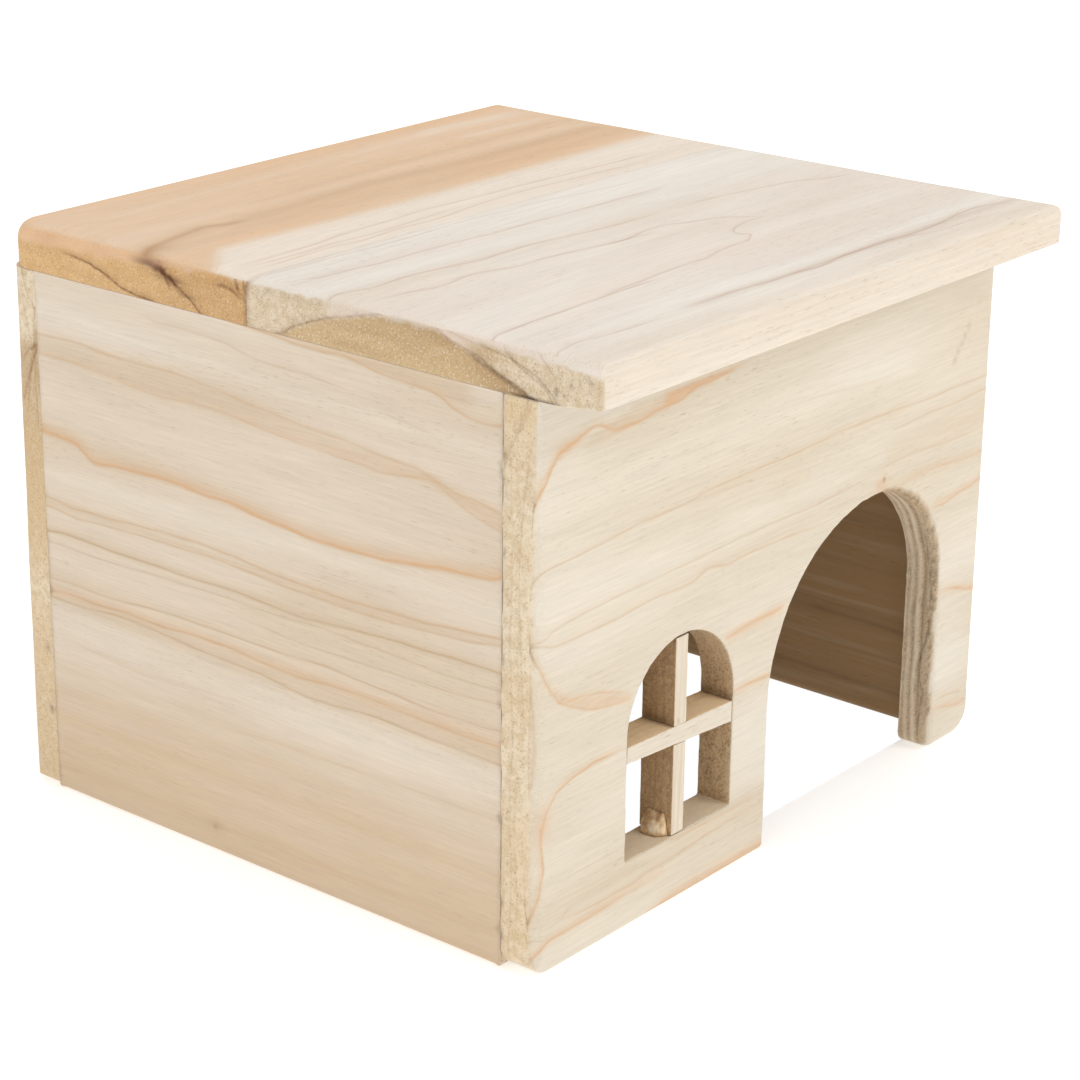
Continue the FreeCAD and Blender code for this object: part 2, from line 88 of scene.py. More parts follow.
def path(items, step):
    """A closed outline from corners ("P", x, y, radius) and arcs
    ("A", cx, cy, radius, from, to). Returns its points, and for each the
    largest arris radius that still fits beside the nearest corner."""
    nodes = []
    for it in items:
        if it[0] == "P":
            nodes.append((it[1], it[2], it[3]))
        else:
            cx, cy, R, a0, a1 = it[1:]
            n = max(3, int(math.ceil(abs(a1 - a0) * R / step)))
            for k in range(n + 1):
                a = a0 + (a1 - a0) * k / n
                nodes.append((cx + R * math.cos(a), cy + R * math.sin(a), 0.0))
    n = len(nodes)
    pieces = []
    for i in range(n):
        p = np.array(nodes[i][:2], float)
        r = nodes[i][2]
        if r <= 0:
            pieces.append((p, p, [p], 99.0))
            continue
        a = np.array(nodes[i - 1][:2], float) - p
        b = np.array(nodes[(i + 1) % n][:2], float) - p
        a /= np.linalg.norm(a)
        b /= np.linalg.norm(b)
        ang = math.acos(max(-1.0, min(1.0, float(a @ b))))
        t = r / math.tan(ang / 2)
        bis = (a + b) / np.linalg.norm(a + b)
        c = p + bis * r / math.sin(ang / 2)
        s, e = p + a * t, p + b * t
        a0 = math.atan2(*(s - c)[::-1])
        a1 = math.atan2(*(e - c)[::-1])
        d = (a1 - a0 + math.pi) % (2 * math.pi) - math.pi
        m = max(4, int(math.ceil(abs(d) * r / (step * 0.6))))
        arc = [c + r * np.array((math.cos(a0 + d * k / m), math.sin(a0 + d * k / m))) for k in range(m + 1)]
        cross = a[0] * b[1] - a[1] * b[0]
        pieces.append((s, e, arc, 0.93 * r if cross < 0 else 99.0))
    pts, lim = [], []
    for i in range(n):
        s, e, arc, L = pieces[i]
        for q in arc:
            pts.append(q)
            lim.append(L)
        s2, L2 = pieces[(i + 1) % n][0], pieces[(i + 1) % n][3]
        length = np.linalg.norm(s2 - e)
        m = int(round(length / step))
        for k in range(1, m):
            f = k / m
            pts.append(e + (s2 - e) * f)
            lim.append(min(L + 0.75 * length * f, L2 + 0.75 * length * (1 - f)))
    pts, lim = np.array(pts), np.array(lim)
    keep = np.linalg.norm(pts - np.roll(pts, 1, 0), axis=1) > 0.04
    return pts[keep], lim[keep]


def loop_normals(p):
    """Unit normals to the left of a closed outline, and the mitre factors."""
    d = np.roll(p, -1, 0) - p
    d /= np.linalg.norm(d, axis=1)[:, None]
    nn = np.stack([-d[:, 1], d[:, 0]], 1)
    avg = nn + np.roll(nn, 1, 0)
    avg /= np.linalg.norm(avg, axis=1)[:, None]
    mit = 1.0 / np.clip((avg * nn).sum(1), 0.62, 1.0)
    return avg, mit


def inside(pts, loops):
    """True where a point is inside the first loop and outside the others."""
    res = np.zeros(len(pts), bool)
    for c0 in range(0, len(pts), 3000):
        q = pts[c0:c0 + 3000]
        hit = np.zeros(len(q), int)
        for lp in loops:
            a, b = lp, np.roll(lp, -1, 0)
            up = (a[None, :, 1] > q[:, 1:2]) != (b[None, :, 1] > q[:, 1:2])
            dy = b[:, 1] - a[:, 1]
            dy = np.where(np.abs(dy) < 1e-12, 1e-12, dy)
            xc = a[None, :, 0] + (q[:, 1:2] - a[None, :, 1]) * ((b[:, 0] - a[:, 0]) / dy)[None, :]
            hit += (up & (q[:, 0:1] < xc)).sum(1)
        res[c0:c0 + 3000] = hit % 2 == 1
    return res


def near(pts, loops):
    """Distance to the closest loop vertex."""
    allp = np.concatenate(loops)
    out = np.zeros(len(pts))
    for c0 in range(0, len(pts), 2000):
        q = pts[c0:c0 + 2000]
        d = ((q[:, None, :] - allp[None, :, :]) ** 2).sum(2)
        out[c0:c0 + 2000] = np.sqrt(d.min(1))
    return out


def fill(loops, step):
    """Triangulates the area between loops with an even grid of inner points.
    Returns the inner points and the triangles; the first indices are the
    loops' own points, in order."""
    ring = np.concatenate(loops)
    lo, hi = loops[0].min(0), loops[0].max(0)
    xs = np.arange(lo[0] + step * 0.5, hi[0], step)
    ys = np.arange(lo[1] + step * 0.5, hi[1], step * 0.866)
    gx, gy = np.meshgrid(xs, ys)
    gx = gx + np.where(np.arange(len(ys)) % 2 == 1, step * 0.5, 0.0)[:, None]
    g = np.stack([gx.ravel(), gy.ravel()], 1)
    g = g[inside(g, loops)]
    g = g[near(g, loops) > 0.55 * step]
    pts = np.concatenate([ring, g])
    edges, base = [], 0
    for lp in loops:
        n = len(lp)
        edges += [(base + i, base + (i + 1) % n) for i in range(n)]
        base += n
    res = geometry.delaunay_2d_cdt([Vector(p) for p in pts], edges, [], 0, 1e-7, True)
    vs, faces, orig = res[0], res[2], res[3]
    back = [o[0] if o else -1 for o in orig]
    tri = np.array([[back[i] for i in f] for f in faces if len(f) == 3])
    tri = tri[(tri >= 0).all(1)]
    cen = pts[tri].mean(1)
    tri = tri[inside(cen, loops)]
    return g, tri


def slab(loops, T, rf, rb, step_f, step_b, rows, K=6):
    """A board: outline loops (the outer one counter-clockwise, holes
    clockwise), thickness T, arris radii rf and rb at the front and the back
    (functions of the outline's points)."""
    P2, W, UN, INN, LN, S, LOOP = [], [], [], [], [], [], []
    rings, faces, total = [], [], 0
    for li, (p, lim) in enumerate(loops):
        n = len(p)
        nv, mit = loop_normals(p)
        f = np.minimum(rf(p), lim)
        b = np.minimum(rb(p), lim)
        f = np.minimum(f, T * 0.48)
        b = np.minimum(b, T * 0.48)
        seg = np.linalg.norm(np.roll(p, -1, 0) - p, axis=1)
        arc = np.concatenate([[0], np.cumsum(seg)[:-1]])
        stack = []
        for k in range(K, -1, -1):
            th = HALF_PI * k / K
            stack.append((p + nv * (mit * f * (1 - math.cos(th)))[:, None], f * (1 - math.sin(th)),
                          p + nv * (f * (1 - (HALF_PI - th)))[:, None],
                          np.concatenate([nv * math.cos(th), np.full((n, 1), math.sin(th))], 1)))
        for j in range(1, rows):
            w = f + (T - b - f) * j / rows
            stack.append((p, w, p + nv * (f * (1 - HALF_PI) - (w - f))[:, None],
                          np.concatenate([nv, np.zeros((n, 1))], 1)))
        for k in range(0, K + 1):
            th = HALF_PI * k / K
            stack.append((p + nv * (mit * b * (1 - math.cos(th)))[:, None], T - b * (1 - math.sin(th)),
                          p + nv * (b * (1 - (HALF_PI - th)))[:, None],
                          np.concatenate([nv * math.cos(th), np.full((n, 1), -math.sin(th))], 1)))
        ids = []
        for q, w, un, inn in stack:
            ids.append(np.arange(total, total + n))
            total += n
            P2.append(q)
            W.append(w)
            UN.append(un)
            INN.append(inn)
            LN.append(nv)
            S.append(arc)
            LOOP.append(np.full(n, li))
        for a, c in zip(ids[:-1], ids[1:]):
            for i in range(n):
                j = (i + 1) % n
                faces.append((a[i], a[j], c[j], c[i]))
        rings.append((ids[0], ids[-1]))
    for side, step in ((0, step_f), (1, step_b)):
        allp = np.concatenate(P2)
        idx = np.concatenate([r[side] for r in rings])
        lps = [allp[r[side]] for r in rings]
        g, tri = fill(lps, step)
        ng = len(g)
        lut = np.concatenate([idx, np.arange(total, total + ng)])
        total += ng
        P2.append(g)
        W.append(np.full(ng, 0.0 if side == 0 else T))
        UN.append(g)
        INN.append(np.tile([0, 0, 1.0 if side == 0 else -1.0], (ng, 1)))
        LN.append(np.zeros((ng, 2)))
        S.append(np.zeros(ng))
        LOOP.append(np.full(ng, -1 - side))
        faces += [tuple(t) for t in lut[tri]]
    return {"p": np.concatenate(P2), "w": np.concatenate(W), "un": np.concatenate(UN),
            "inn": np.concatenate(INN), "ln": np.concatenate(LN), "s": np.concatenate(S),
            "loop": np.concatenate(LOOP), "faces": faces}


# ---------------------------------------------------------------- growth lines

def curve(pts, step=1.0):
    """Catmull-Rom through a drawn line, at even steps."""
    p = np.array(pts, float)
    keep = np.concatenate([[True], np.linalg.norm(np.diff(p, axis=0), axis=1) > 0.3])
    p = p[keep]
    if len(p) < 3:
        n = max(2, int(np.linalg.norm(p[-1] - p[0]) / step))
        return p[0] + (p[-1] - p[0]) * np.linspace(0, 1, n + 1)[:, None]
    q = np.concatenate([[2 * p[0] - p[1]], p, [2 * p[-1] - p[-2]]])
    out = []
    for i in range(1, len(q) - 2):
        n = max(1, int(np.linalg.norm(q[i + 1] - q[i]) / step))
        t = (np.arange(n) / n)[:, None]
        out.append(0.5 * (2 * q[i] + (q[i + 1] - q[i - 1]) * t
                          + (2 * q[i - 1] - 5 * q[i] + 4 * q[i + 1] - q[i + 2]) * t ** 2
                          + (3 * q[i] - q[i - 1] - 3 * q[i + 1] + q[i + 2]) * t ** 3))
    out.append(p[-1:])
    return np.concatenate(out)


CH = 6
REACH = 2.6


def lay_lines(pts, lines, box):
    """For each point: distance to a growth line over its half width and the
    line's strength, in CH channels, and how orange the lines there are.
    Lines of one channel never come close to each other, so a distance keeps
    its sign from one vertex to the next."""
    N = len(pts)
    D = np.full((N, CH), 12.0)
    Sg = np.zeros((N, CH))
    OR = np.zeros(N)
    WT = np.full(N, 1e-6)
    u0, u1, v0, v1 = box
    used = [[] for _ in range(CH)]
    prepared = []
    for hw, st, orange, raw in lines:
        c = curve(raw)
        tap = [True, True]
        for e, (i, j) in enumerate(((0, 1), (-1, -2))):
            x, y = c[i]
            if min(abs(x - u0), abs(x - u1), abs(y - v0), abs(y - v1)) < 3.2 or x < u0 or x > u1 or y < v0 or y > v1:
                tap[e] = False
                d = c[i] - c[j if abs(j) < len(c) else i]
                d = d / max(np.linalg.norm(d), 1e-9)
                ext = np.array([c[i] + d * s for s in range(1, 6)])
                c = np.concatenate([ext[::-1], c]) if e == 0 else np.concatenate([c, ext])
        best, bestd = 0, -1.0
        for ch in range(CH):
            if not used[ch]:
                best, bestd = ch, 99.0
                break
            allu = np.concatenate(used[ch])
            d = np.sqrt(((c[::3, None, :] - allu[None, :, :]) ** 2).sum(2)).min()
            if d > bestd:
                best, bestd = ch, d
            if d > 2 * REACH + 0.8:
                break
        used[best].append(c[::3])
        prepared.append((hw, st, orange, c, tap, best))
    for hw, st, orange, c, tap, ch in prepared:
        lo, hi = c.min(0) - 4, c.max(0) + 4
        m = np.where((pts[:, 0] > lo[0]) & (pts[:, 0] < hi[0]) & (pts[:, 1] > lo[1]) & (pts[:, 1] < hi[1]))[0]
        if not len(m):
            continue
        a, b = c[:-1], c[1:]
        d = b - a
        L = np.maximum(np.linalg.norm(d, axis=1), 1e-6)
        t_hat = d / L[:, None]
        arc0 = np.concatenate([[0], np.cumsum(L)[:-1]])
        total = arc0[-1] + L[-1]
        flip = -1.0 if (c[-1] - c[0])[0] < 0 else 1.0
        for s0 in range(0, len(m), 4000):
            mm = m[s0:s0 + 4000]
            q = pts[mm]
            rel = q[:, None, :] - a[None, :, :]
            al = (rel * t_hat[None]).sum(2)
            tc = np.clip(al, 0, L[None])
            nearp = rel - tc[:, :, None] * t_hat[None]
            dist = np.sqrt((nearp ** 2).sum(2))
            k = dist.argmin(1)
            r = np.arange(len(mm))
            dd = dist[r, k]
            cross = t_hat[k, 0] * rel[r, k, 1] - t_hat[k, 1] * rel[r, k, 0]
            over = np.maximum(np.maximum(-al[r, 0], 0) * (k == 0), np.maximum(al[r, -1] - L[-1], 0) * (k == len(L) - 1))
            signed = np.where(over > 0, cross, np.where(cross >= 0, dd, -dd)) * flip
            along = arc0[k] + tc[r, k]
            s = st * (1 - smooth(dd, REACH - 1.0, REACH)) * (1 - smooth(over, 0.0, 0.9))
            span = min(9.0, total * 0.3)
            if tap[0]:
                s = s * smooth(along, -0.4 * span, span)
            if tap[1]:
                s = s * smooth(total - along, -0.4 * span, span)
            take = (s > Sg[mm, ch]) | ((Sg[mm, ch] <= 0) & (dd < 4.0))
            D[mm[take], ch] = (signed / hw)[take]
            Sg[mm[take], ch] = np.maximum(s[take], 0)
            wgt = np.exp(-(dd / 1.2) ** 2) * st
            OR[mm] += wgt * orange
            WT[mm] += wgt
    return np.clip(D, -14, 14), Sg, OR / WT


def random_lines(seed, box, axis, gap, strength, orange, wave=1.2, hw=0.24):
    """Plausible straight-grained growth lines for a face that has none."""
    rng = np.random.RandomState(seed)
    u0, u1, v0, v1 = box
    if axis == 1:
        u0, u1, v0, v1 = v0, v1, u0, u1
    out = []
    v = v0 + rng.uniform(0.5, 1.0) * gap
    tilt = rng.uniform(-1.5, 1.5)
    while v < v1 - 1:
        n = 14
        us = np.linspace(u0, u1, n)
        vs = v + tilt * (us - u0) / (u1 - u0) + wave * wander(us, seed * 7 + 1, 45) + 0.35 * wander(us + v * 3, seed * 5 + 2, 16)
        k0 = 0 if rng.rand() < 0.75 else rng.randint(1, 5)
        k1 = n if rng.rand() < 0.75 else n - rng.randint(1, 5)
        pts = [(float(a), float(b)) if axis == 0 else (float(b), float(a)) for a, b in zip(us[k0:k1], vs[k0:k1])]
        out.append((hw * rng.uniform(0.8, 1.25), strength * rng.uniform(0.45, 1.15), orange * rng.uniform(0.3, 1.3), pts))
        v += gap * rng.uniform(0.45, 1.5)
    return out


def band(U, V, pts, up, down, amp, end=7.0):
    """A soft stripe along a line that runs in U, with its own width on
    either side."""
    p = np.array(sorted(pts))
    f = np.interp(U, p[:, 0], p[:, 1])
    d = V - f
    w = np.where(d > 0, up, down)
    t = smooth(U, p[0, 0] - end, p[0, 0]) * (1 - smooth(U, p[-1, 0], p[-1, 0] + end))
    return amp * np.exp(-(d / w) ** 2) * t


def between(U, V, low, high, soft, amp, end=4.0):
    """A filled area between two lines that run in U."""
    lo, hi = np.array(sorted(low)), np.array(sorted(high))
    a, b = np.interp(U, lo[:, 0], lo[:, 1]), np.interp(U, hi[:, 0], hi[:, 1])
    x0, x1 = max(lo[0, 0], hi[0, 0]), min(lo[-1, 0], hi[-1, 0])
    t = smooth(U, x0 - end, x0 + 0.5) * (1 - smooth(U, x1 - 0.5, x1 + end))
    return amp * smooth(V - a, -soft, soft) * smooth(b - V, -soft, soft) * t


def blob(U, V, u, v, ru, rv, amp):
    return amp * np.exp(-((U - u) / ru) ** 2 - ((V - v) / rv) ** 2)


# ---------------------------------------------------------------- growth lines, drawn one by one
# (half width, strength, how orange, points on the face in millimetres)

LEFT_LINES = [
    (0.28, 0.55, 0.7, [(7.7, 110.7), (2.2, 110.4), (-4.1, 109.8), (-10.3, 109.7), (-15.6, 110), (-19.9, 109.4), (-24.2, 108.6), (-30.2, 108.1), (-34.4, 108), (-37.3, 107.6), (-39.4, 106.8), (-41, 105.9), (-43.5, 105.1), (-46.8, 104.5), (-50, 104.4), (-53.2, 104.8)]),
    (0.22, 0.28, 0.3, [(37.7, 107.7), (32.4, 106.9), (24.7, 107), (15.2, 106.5), (9.7, 105.5), (2.4, 104.6), (-5.8, 104.6), (-12.9, 104), (-19, 103.4)]),
    (0.22, 0.24, 0.3, [(-23.3, 101.5), (-30.1, 100.6), (-37.7, 99.6)]),
    (0.28, 0.4, 0.6, [(66.8, 98.2), (56.9, 98.4), (46.8, 97.8), (36.8, 97.7), (28, 97.7), (20.4, 97.1), (12.8, 96.3), (2.7, 95.3), (-6.4, 94.5), (-15.3, 94), (-24, 93.2), (-30, 92.7), (-33.4, 92.6), (-39.3, 90.9), (-43.5, 89.9), (-47.6, 89.5), (-52.5, 88.7)]),
    (0.25, 0.38, 0.8, [(67.1, 94.2), (58.2, 94.1), (48, 93.6), (39.1, 92.6), (32.2, 92.2), (26.3, 92.6), (18.6, 92.8), (10.2, 92.3), (2.8, 91.5), (-4.5, 91), (-11.7, 90.6), (-18.8, 90.4), (-25.7, 89.9), (-36, 91.2), (-41.8, 88.9), (-46.8, 86.7), (-52.6, 85.4)]),
    (0.36, 0.85, 1.0, [(68.3, 78.3), (62.5, 77.7), (57.3, 77.5), (52.3, 74.7), (44.1, 75.3), (35, 75.7), (28.1, 75.6), (21.3, 75.2), (14.6, 75), (7, 74.2), (0.5, 73.7), (-5, 73.2), (-11.3, 73), (-18.5, 73.2), (-25.5, 73.5), (-32.5, 74.2), (-39.3, 75.1), (-45.2, 75.4), (-50.2, 75.9), (-52.6, 76.8)]),
    (0.26, 0.5, 0.6, [(66.7, 64.3), (60.3, 63.5), (55.1, 63.6), (47.8, 63.8), (39.6, 64.3), (31.6, 64.6), (22.7, 64.7), (15, 64.4), (7.4, 63.8), (-0.1, 63.3), (-7.5, 63.1), (-14.7, 63), (-21.9, 63.3), (-28.9, 63.5), (-35.8, 63.7), (-42.7, 64.3), (-47.7, 64.7), (-52.7, 65.3)]),
    (0.24, 0.45, 0.55, [(66.8, 62.3), (57.3, 61.6), (49, 62), (38.7, 62.3), (28.7, 62.5), (18.9, 62.7), (9.3, 62.2), (-0, 61.7), (-9.3, 61.5), (-18.3, 61.4), (-27.2, 61.6), (-35.8, 62.2), (-44.4, 62.7), (-52.7, 63.8)]),
    (0.25, 0.62, 0.3, [(67.2, 56.7), (61.8, 57.3), (54.5, 57.2), (46.2, 56.9), (37, 57.1), (29, 56.9), (19.1, 57.2), (9.5, 57.1), (0.1, 56.6), (-5.5, 56.6), (-11.9, 57.1), (-18.2, 57.6), (-27.1, 58.1), (-35.8, 58.3), (-44.4, 58.6), (-52.7, 58.6)]),
    (0.2, 0.36, 0.2, [(67.4, 54.5), (59.9, 54.5), (49.4, 54.4), (39.1, 54.9), (29.1, 55), (19.2, 55.3), (9.6, 55.2), (1.1, 55.3), (-7.3, 55.7), (-18.2, 55.3), (-25.3, 55.3), (-31.5, 55), (-40.1, 54.8), (-46.9, 55), (-52.8, 55.1)]),
    (0.23, 0.5, 0.4, [(67.9, 46.7), (60.4, 47), (49.9, 46.6), (39.5, 47.4), (29.4, 47.8), (19.5, 47.8), (9.8, 47.8), (0.3, 47.8), (-6.2, 48.1), (-12.6, 48.1), (-19.9, 47.6), (-27, 47.4), (-34, 46.9), (-41, 46.9), (-47.8, 47), (-52.8, 47.3)]),
    (0.27, 0.62, 0.75, [(68.2, 43.5), (61.7, 44.4), (53.2, 44.3), (43.8, 44.8), (34.6, 44.5), (25.6, 45.1), (15.7, 45.1), (6.1, 44.4), (-2.4, 44.1), (-10.7, 44.6), (-18.9, 44.8), (-27, 44.6), (-34.9, 44.3), (-42.7, 44.1), (-48.6, 44.1), (-52.8, 44.3)]),
    (0.22, 0.55, 0.3, [(65, 42.5), (56.4, 42.6), (45.9, 43.5), (35.7, 43.1), (25.7, 42.4), (15.8, 42.1), (6.2, 41.8), (-3.2, 40.7), (-10.6, 40.6), (-18, 41.3), (-25.2, 41.5), (-32.2, 41.1), (-39.2, 41), (-46.1, 40.9), (-52.9, 40.8)]),
    (0.2, 0.34, 0.3, [(9.7, 52), (-3.5, 51.2), (-16.3, 51.3), (-28.8, 51.5), (-41, 51.7), (-52.8, 52.6)]),
    (0.3, 0.16, 0.5, [(20.4, 27.6), (5.7, 28.5), (-8.5, 28.9), (-17.8, 29.1), (-26.8, 29.3), (-40.1, 29.4), (-52.9, 29.8)]),
    (0.3, 0.14, 0.5, [(66.6, 34.9), (52.8, 33.5), (40.3, 32.7), (24.1, 33.8), (10.3, 34.3)]),
]

FRONT_LINES = [
    (0.3, 0.75, 1.0, [(-75.1, 91.3), (-73.8, 94.2), (-71.9, 96.7), (-70.2, 99.1), (-68.9, 100.2), (-66.8, 100.6), (-64.2, 101.3), (-61.1, 102.3), (-59.3, 102.5), (-57.5, 102.3), (-55.2, 101.1), (-52.9, 100.5), (-50.2, 100.5), (-46.5, 100.5), (-46.6, 100.7), (-42.6, 101), (-37.9, 101.4), (-33.8, 101.7), (-30.3, 102.9), (-26.1, 103), (-21.9, 103.5), (-17.6, 103.9), (-14.8, 104.1)]),
    (0.2, 0.42, 0.5, [(-74.9, 77.7), (-72.9, 79.3), (-67.7, 79.6), (-56, 80.2), (-45.9, 81), (-41.8, 80.8), (-37, 81), (-32.1, 81), (-25.1, 81.6), (-17.9, 81.8), (-10.5, 81.9), (-3, 81.8), (4.7, 81.9), (12.5, 82.1), (18.8, 82.4), (25.3, 82.2), (32.7, 82.3), (41.1, 82), (48, 81.6), (54.1, 81.6), (61.1, 81.6), (68.3, 81.5), (72.9, 81.4)]),
    (0.2, 0.34, 0.4, [(-75.3, 65.7), (-67.4, 67.8), (-53.8, 68.5), (-39.7, 68.8), (-28.7, 69), (-20.8, 69.1), (-13.5, 69.3), (-5.2, 69.4), (1.7, 69.4), (9.5, 69.1), (17.4, 69.4), (23.9, 69.6), (29.7, 69)]),
    (0.22, 0.4, 0.6, [(-75.6, 65.3), (-73.3, 65.3), (-69.6, 64.4), (-61, 64.3), (-52.8, 64.3), (-42.4, 64.9), (-29.7, 64.7), (-24.3, 66.1), (-18.4, 65.1), (-13.2, 65.3), (-6.5, 65.3), (-0.4, 65.2), (5.9, 64.9), (12.2, 64.6), (16.2, 64.7)]),
    (0.26, 0.62, 0.8, [(-75.5, 64.6), (-74.5, 62.6), (-72.8, 59.3), (-70.5, 55.7), (-68.6, 53.4), (-65.5, 51.6), (-61.8, 49.8), (-58, 48.5), (-54.1, 47.9), (-50.3, 47.3), (-47.7, 46.9)]),
    (0.2, 0.5, 1.0, [(-68.5, 53.2), (-64.9, 52.5), (-60.6, 52), (-56.8, 51.3), (-52.9, 50.1), (-50, 49), (-46.9, 47.9)]),
    (0.27, 0.72, 0.95, [(-48.2, 37.7), (-51.3, 37.7), (-54.5, 37.7), (-57.7, 37.8), (-60.8, 37.3), (-63.3, 37.1), (-65.8, 36.5), (-68.3, 35.7), (-70.1, 34.2), (-71.6, 32.5), (-72.3, 30.6), (-72.8, 28.5), (-72.8, 26.4), (-72.6, 23.7), (-72.3, 21.5), (-72.7, 18.5), (-73, 16.5), (-73.9, 13.9), (-74.9, 11.2), (-75.7, 8.3), (-76.1, 7.1)]),
    (0.3, 0.34, 0.7, [(-75.8, 62.1), (-75.1, 56.4), (-74.5, 50.1), (-74.2, 45.9), (-74.3, 41.6), (-74.8, 38.2), (-75.8, 35.8), (-76.1, 28.9), (-76.6, 24.1), (-76.7, 21), (-77.3, 17.8)]),
    (0.26, 0.66, 0.95, [(-75.6, 1.4), (-74.6, 2.9), (-73.2, 4.6), (-71.7, 5.9), (-69.2, 6.5), (-66.4, 6.4), (-62.5, 6.6), (-59.6, 6.6), (-55.6, 6.6), (-53.3, 6.7), (-50.4, 7), (-48.1, 7.1)]),
    (0.2, 0.24, 0.4, [(-71.3, 8.3), (-69.2, 9.1), (-66.4, 9.5), (-65.4, 10.9), (-63.1, 11), (-59.7, 11.2), (-55.8, 11.3), (-51.7, 11.3), (-48.2, 11.1), (-45.3, 11.2), (-41.8, 11.1), (-37.6, 11.3)]),
    (0.22, 0.4, 0.6, [(-68.1, 9.6), (-62.5, 8.8), (-56.8, 8.5), (-51.1, 8.6), (-45.2, 8.4), (-42.9, 9.1), (-39.3, 9.3), (-35.7, 9.2), (-31.4, 9.4), (-27.2, 9.6), (-22.8, 10.1), (-18.4, 10.1), (-14.6, 10.3), (-9.5, 10.1), (-4.3, 10.5)]),
    (0.22, 0.42, 0.7, [(-39.5, 14), (-36.5, 13.8), (-31.6, 12.9), (-27.3, 12.9), (-21.1, 12.7), (-14.8, 12.5), (-8.4, 12.6), (-4.1, 12.6)]),
    (0.3, 0.62, 1.0, [(-35.3, 0.4), (-29.2, 0.5), (-23.6, 0.4), (-19.9, 0.8), (-14.1, 0.7), (-9, 0.9), (-5, 0.9)]),
    (0.2, 0.4, 0.3, [(-77.6, 1.7), (-76.4, 4.2), (-75.3, 6.8), (-74.6, 7.2), (-71.3, 6.9)]),
    (0.28, 0.6, 1.0, [(-18.4, 49.7), (-12.7, 50.4), (-7.4, 50.5), (-2.1, 50.5), (2.2, 51.3)]),
    (0.28, 0.6, 1.0, [(-14.6, 37.9), (-9.9, 37.9), (-5.6, 37.7), (-2.1, 37.5)]),
    (0.22, 0.4, 0.5, [(36.4, 78), (44, 78.1), (50.9, 78.4), (58, 78.2), (65.1, 78.2), (72.3, 78.5)]),
    (0.22, 0.3, 0.6, [(29.6, 70.5), (37.9, 70.8), (46.5, 71.1), (55.3, 70.4), (64.2, 70.1), (71.5, 69.9)]),
    (0.24, 0.36, 0.9, [(42.7, 65.6), (49.6, 65.8), (57.5, 65.5), (64.8, 64.7), (72.1, 64.6)]),
    (0.26, 0.6, 1.0, [(52.3, 56.6), (59.4, 56.7), (64.7, 57.6), (69.2, 57.9), (72.4, 58.4)]),
    (0.26, 0.6, 1.0, [(60.6, 36.6), (63.4, 36.3), (68.4, 34.7), (72.6, 33.5)]),
    (0.2, 0.4, 0.8, [(60.9, 11.6), (65.4, 11.1), (71.2, 10.2)]),
    (0.22, 0.45, 0.9, [(61.2, 9), (65.7, 8.2), (71.6, 7)]),
    (0.2, 0.2, 0.5, [(-34.3, 80), (-20.5, 80.4), (-2.9, 79.6), (11.1, 78.9)]),
    (0.2, 0.16, 0.3, [(-36.8, 91.3), (-31.2, 90.8), (-23.4, 90.6)]),
    (0.2, 0.2, 0.3, [(5.5, 91.7), (13.3, 91.2), (19.7, 90.7), (27.9, 90.2), (36.2, 89.7)]),
]

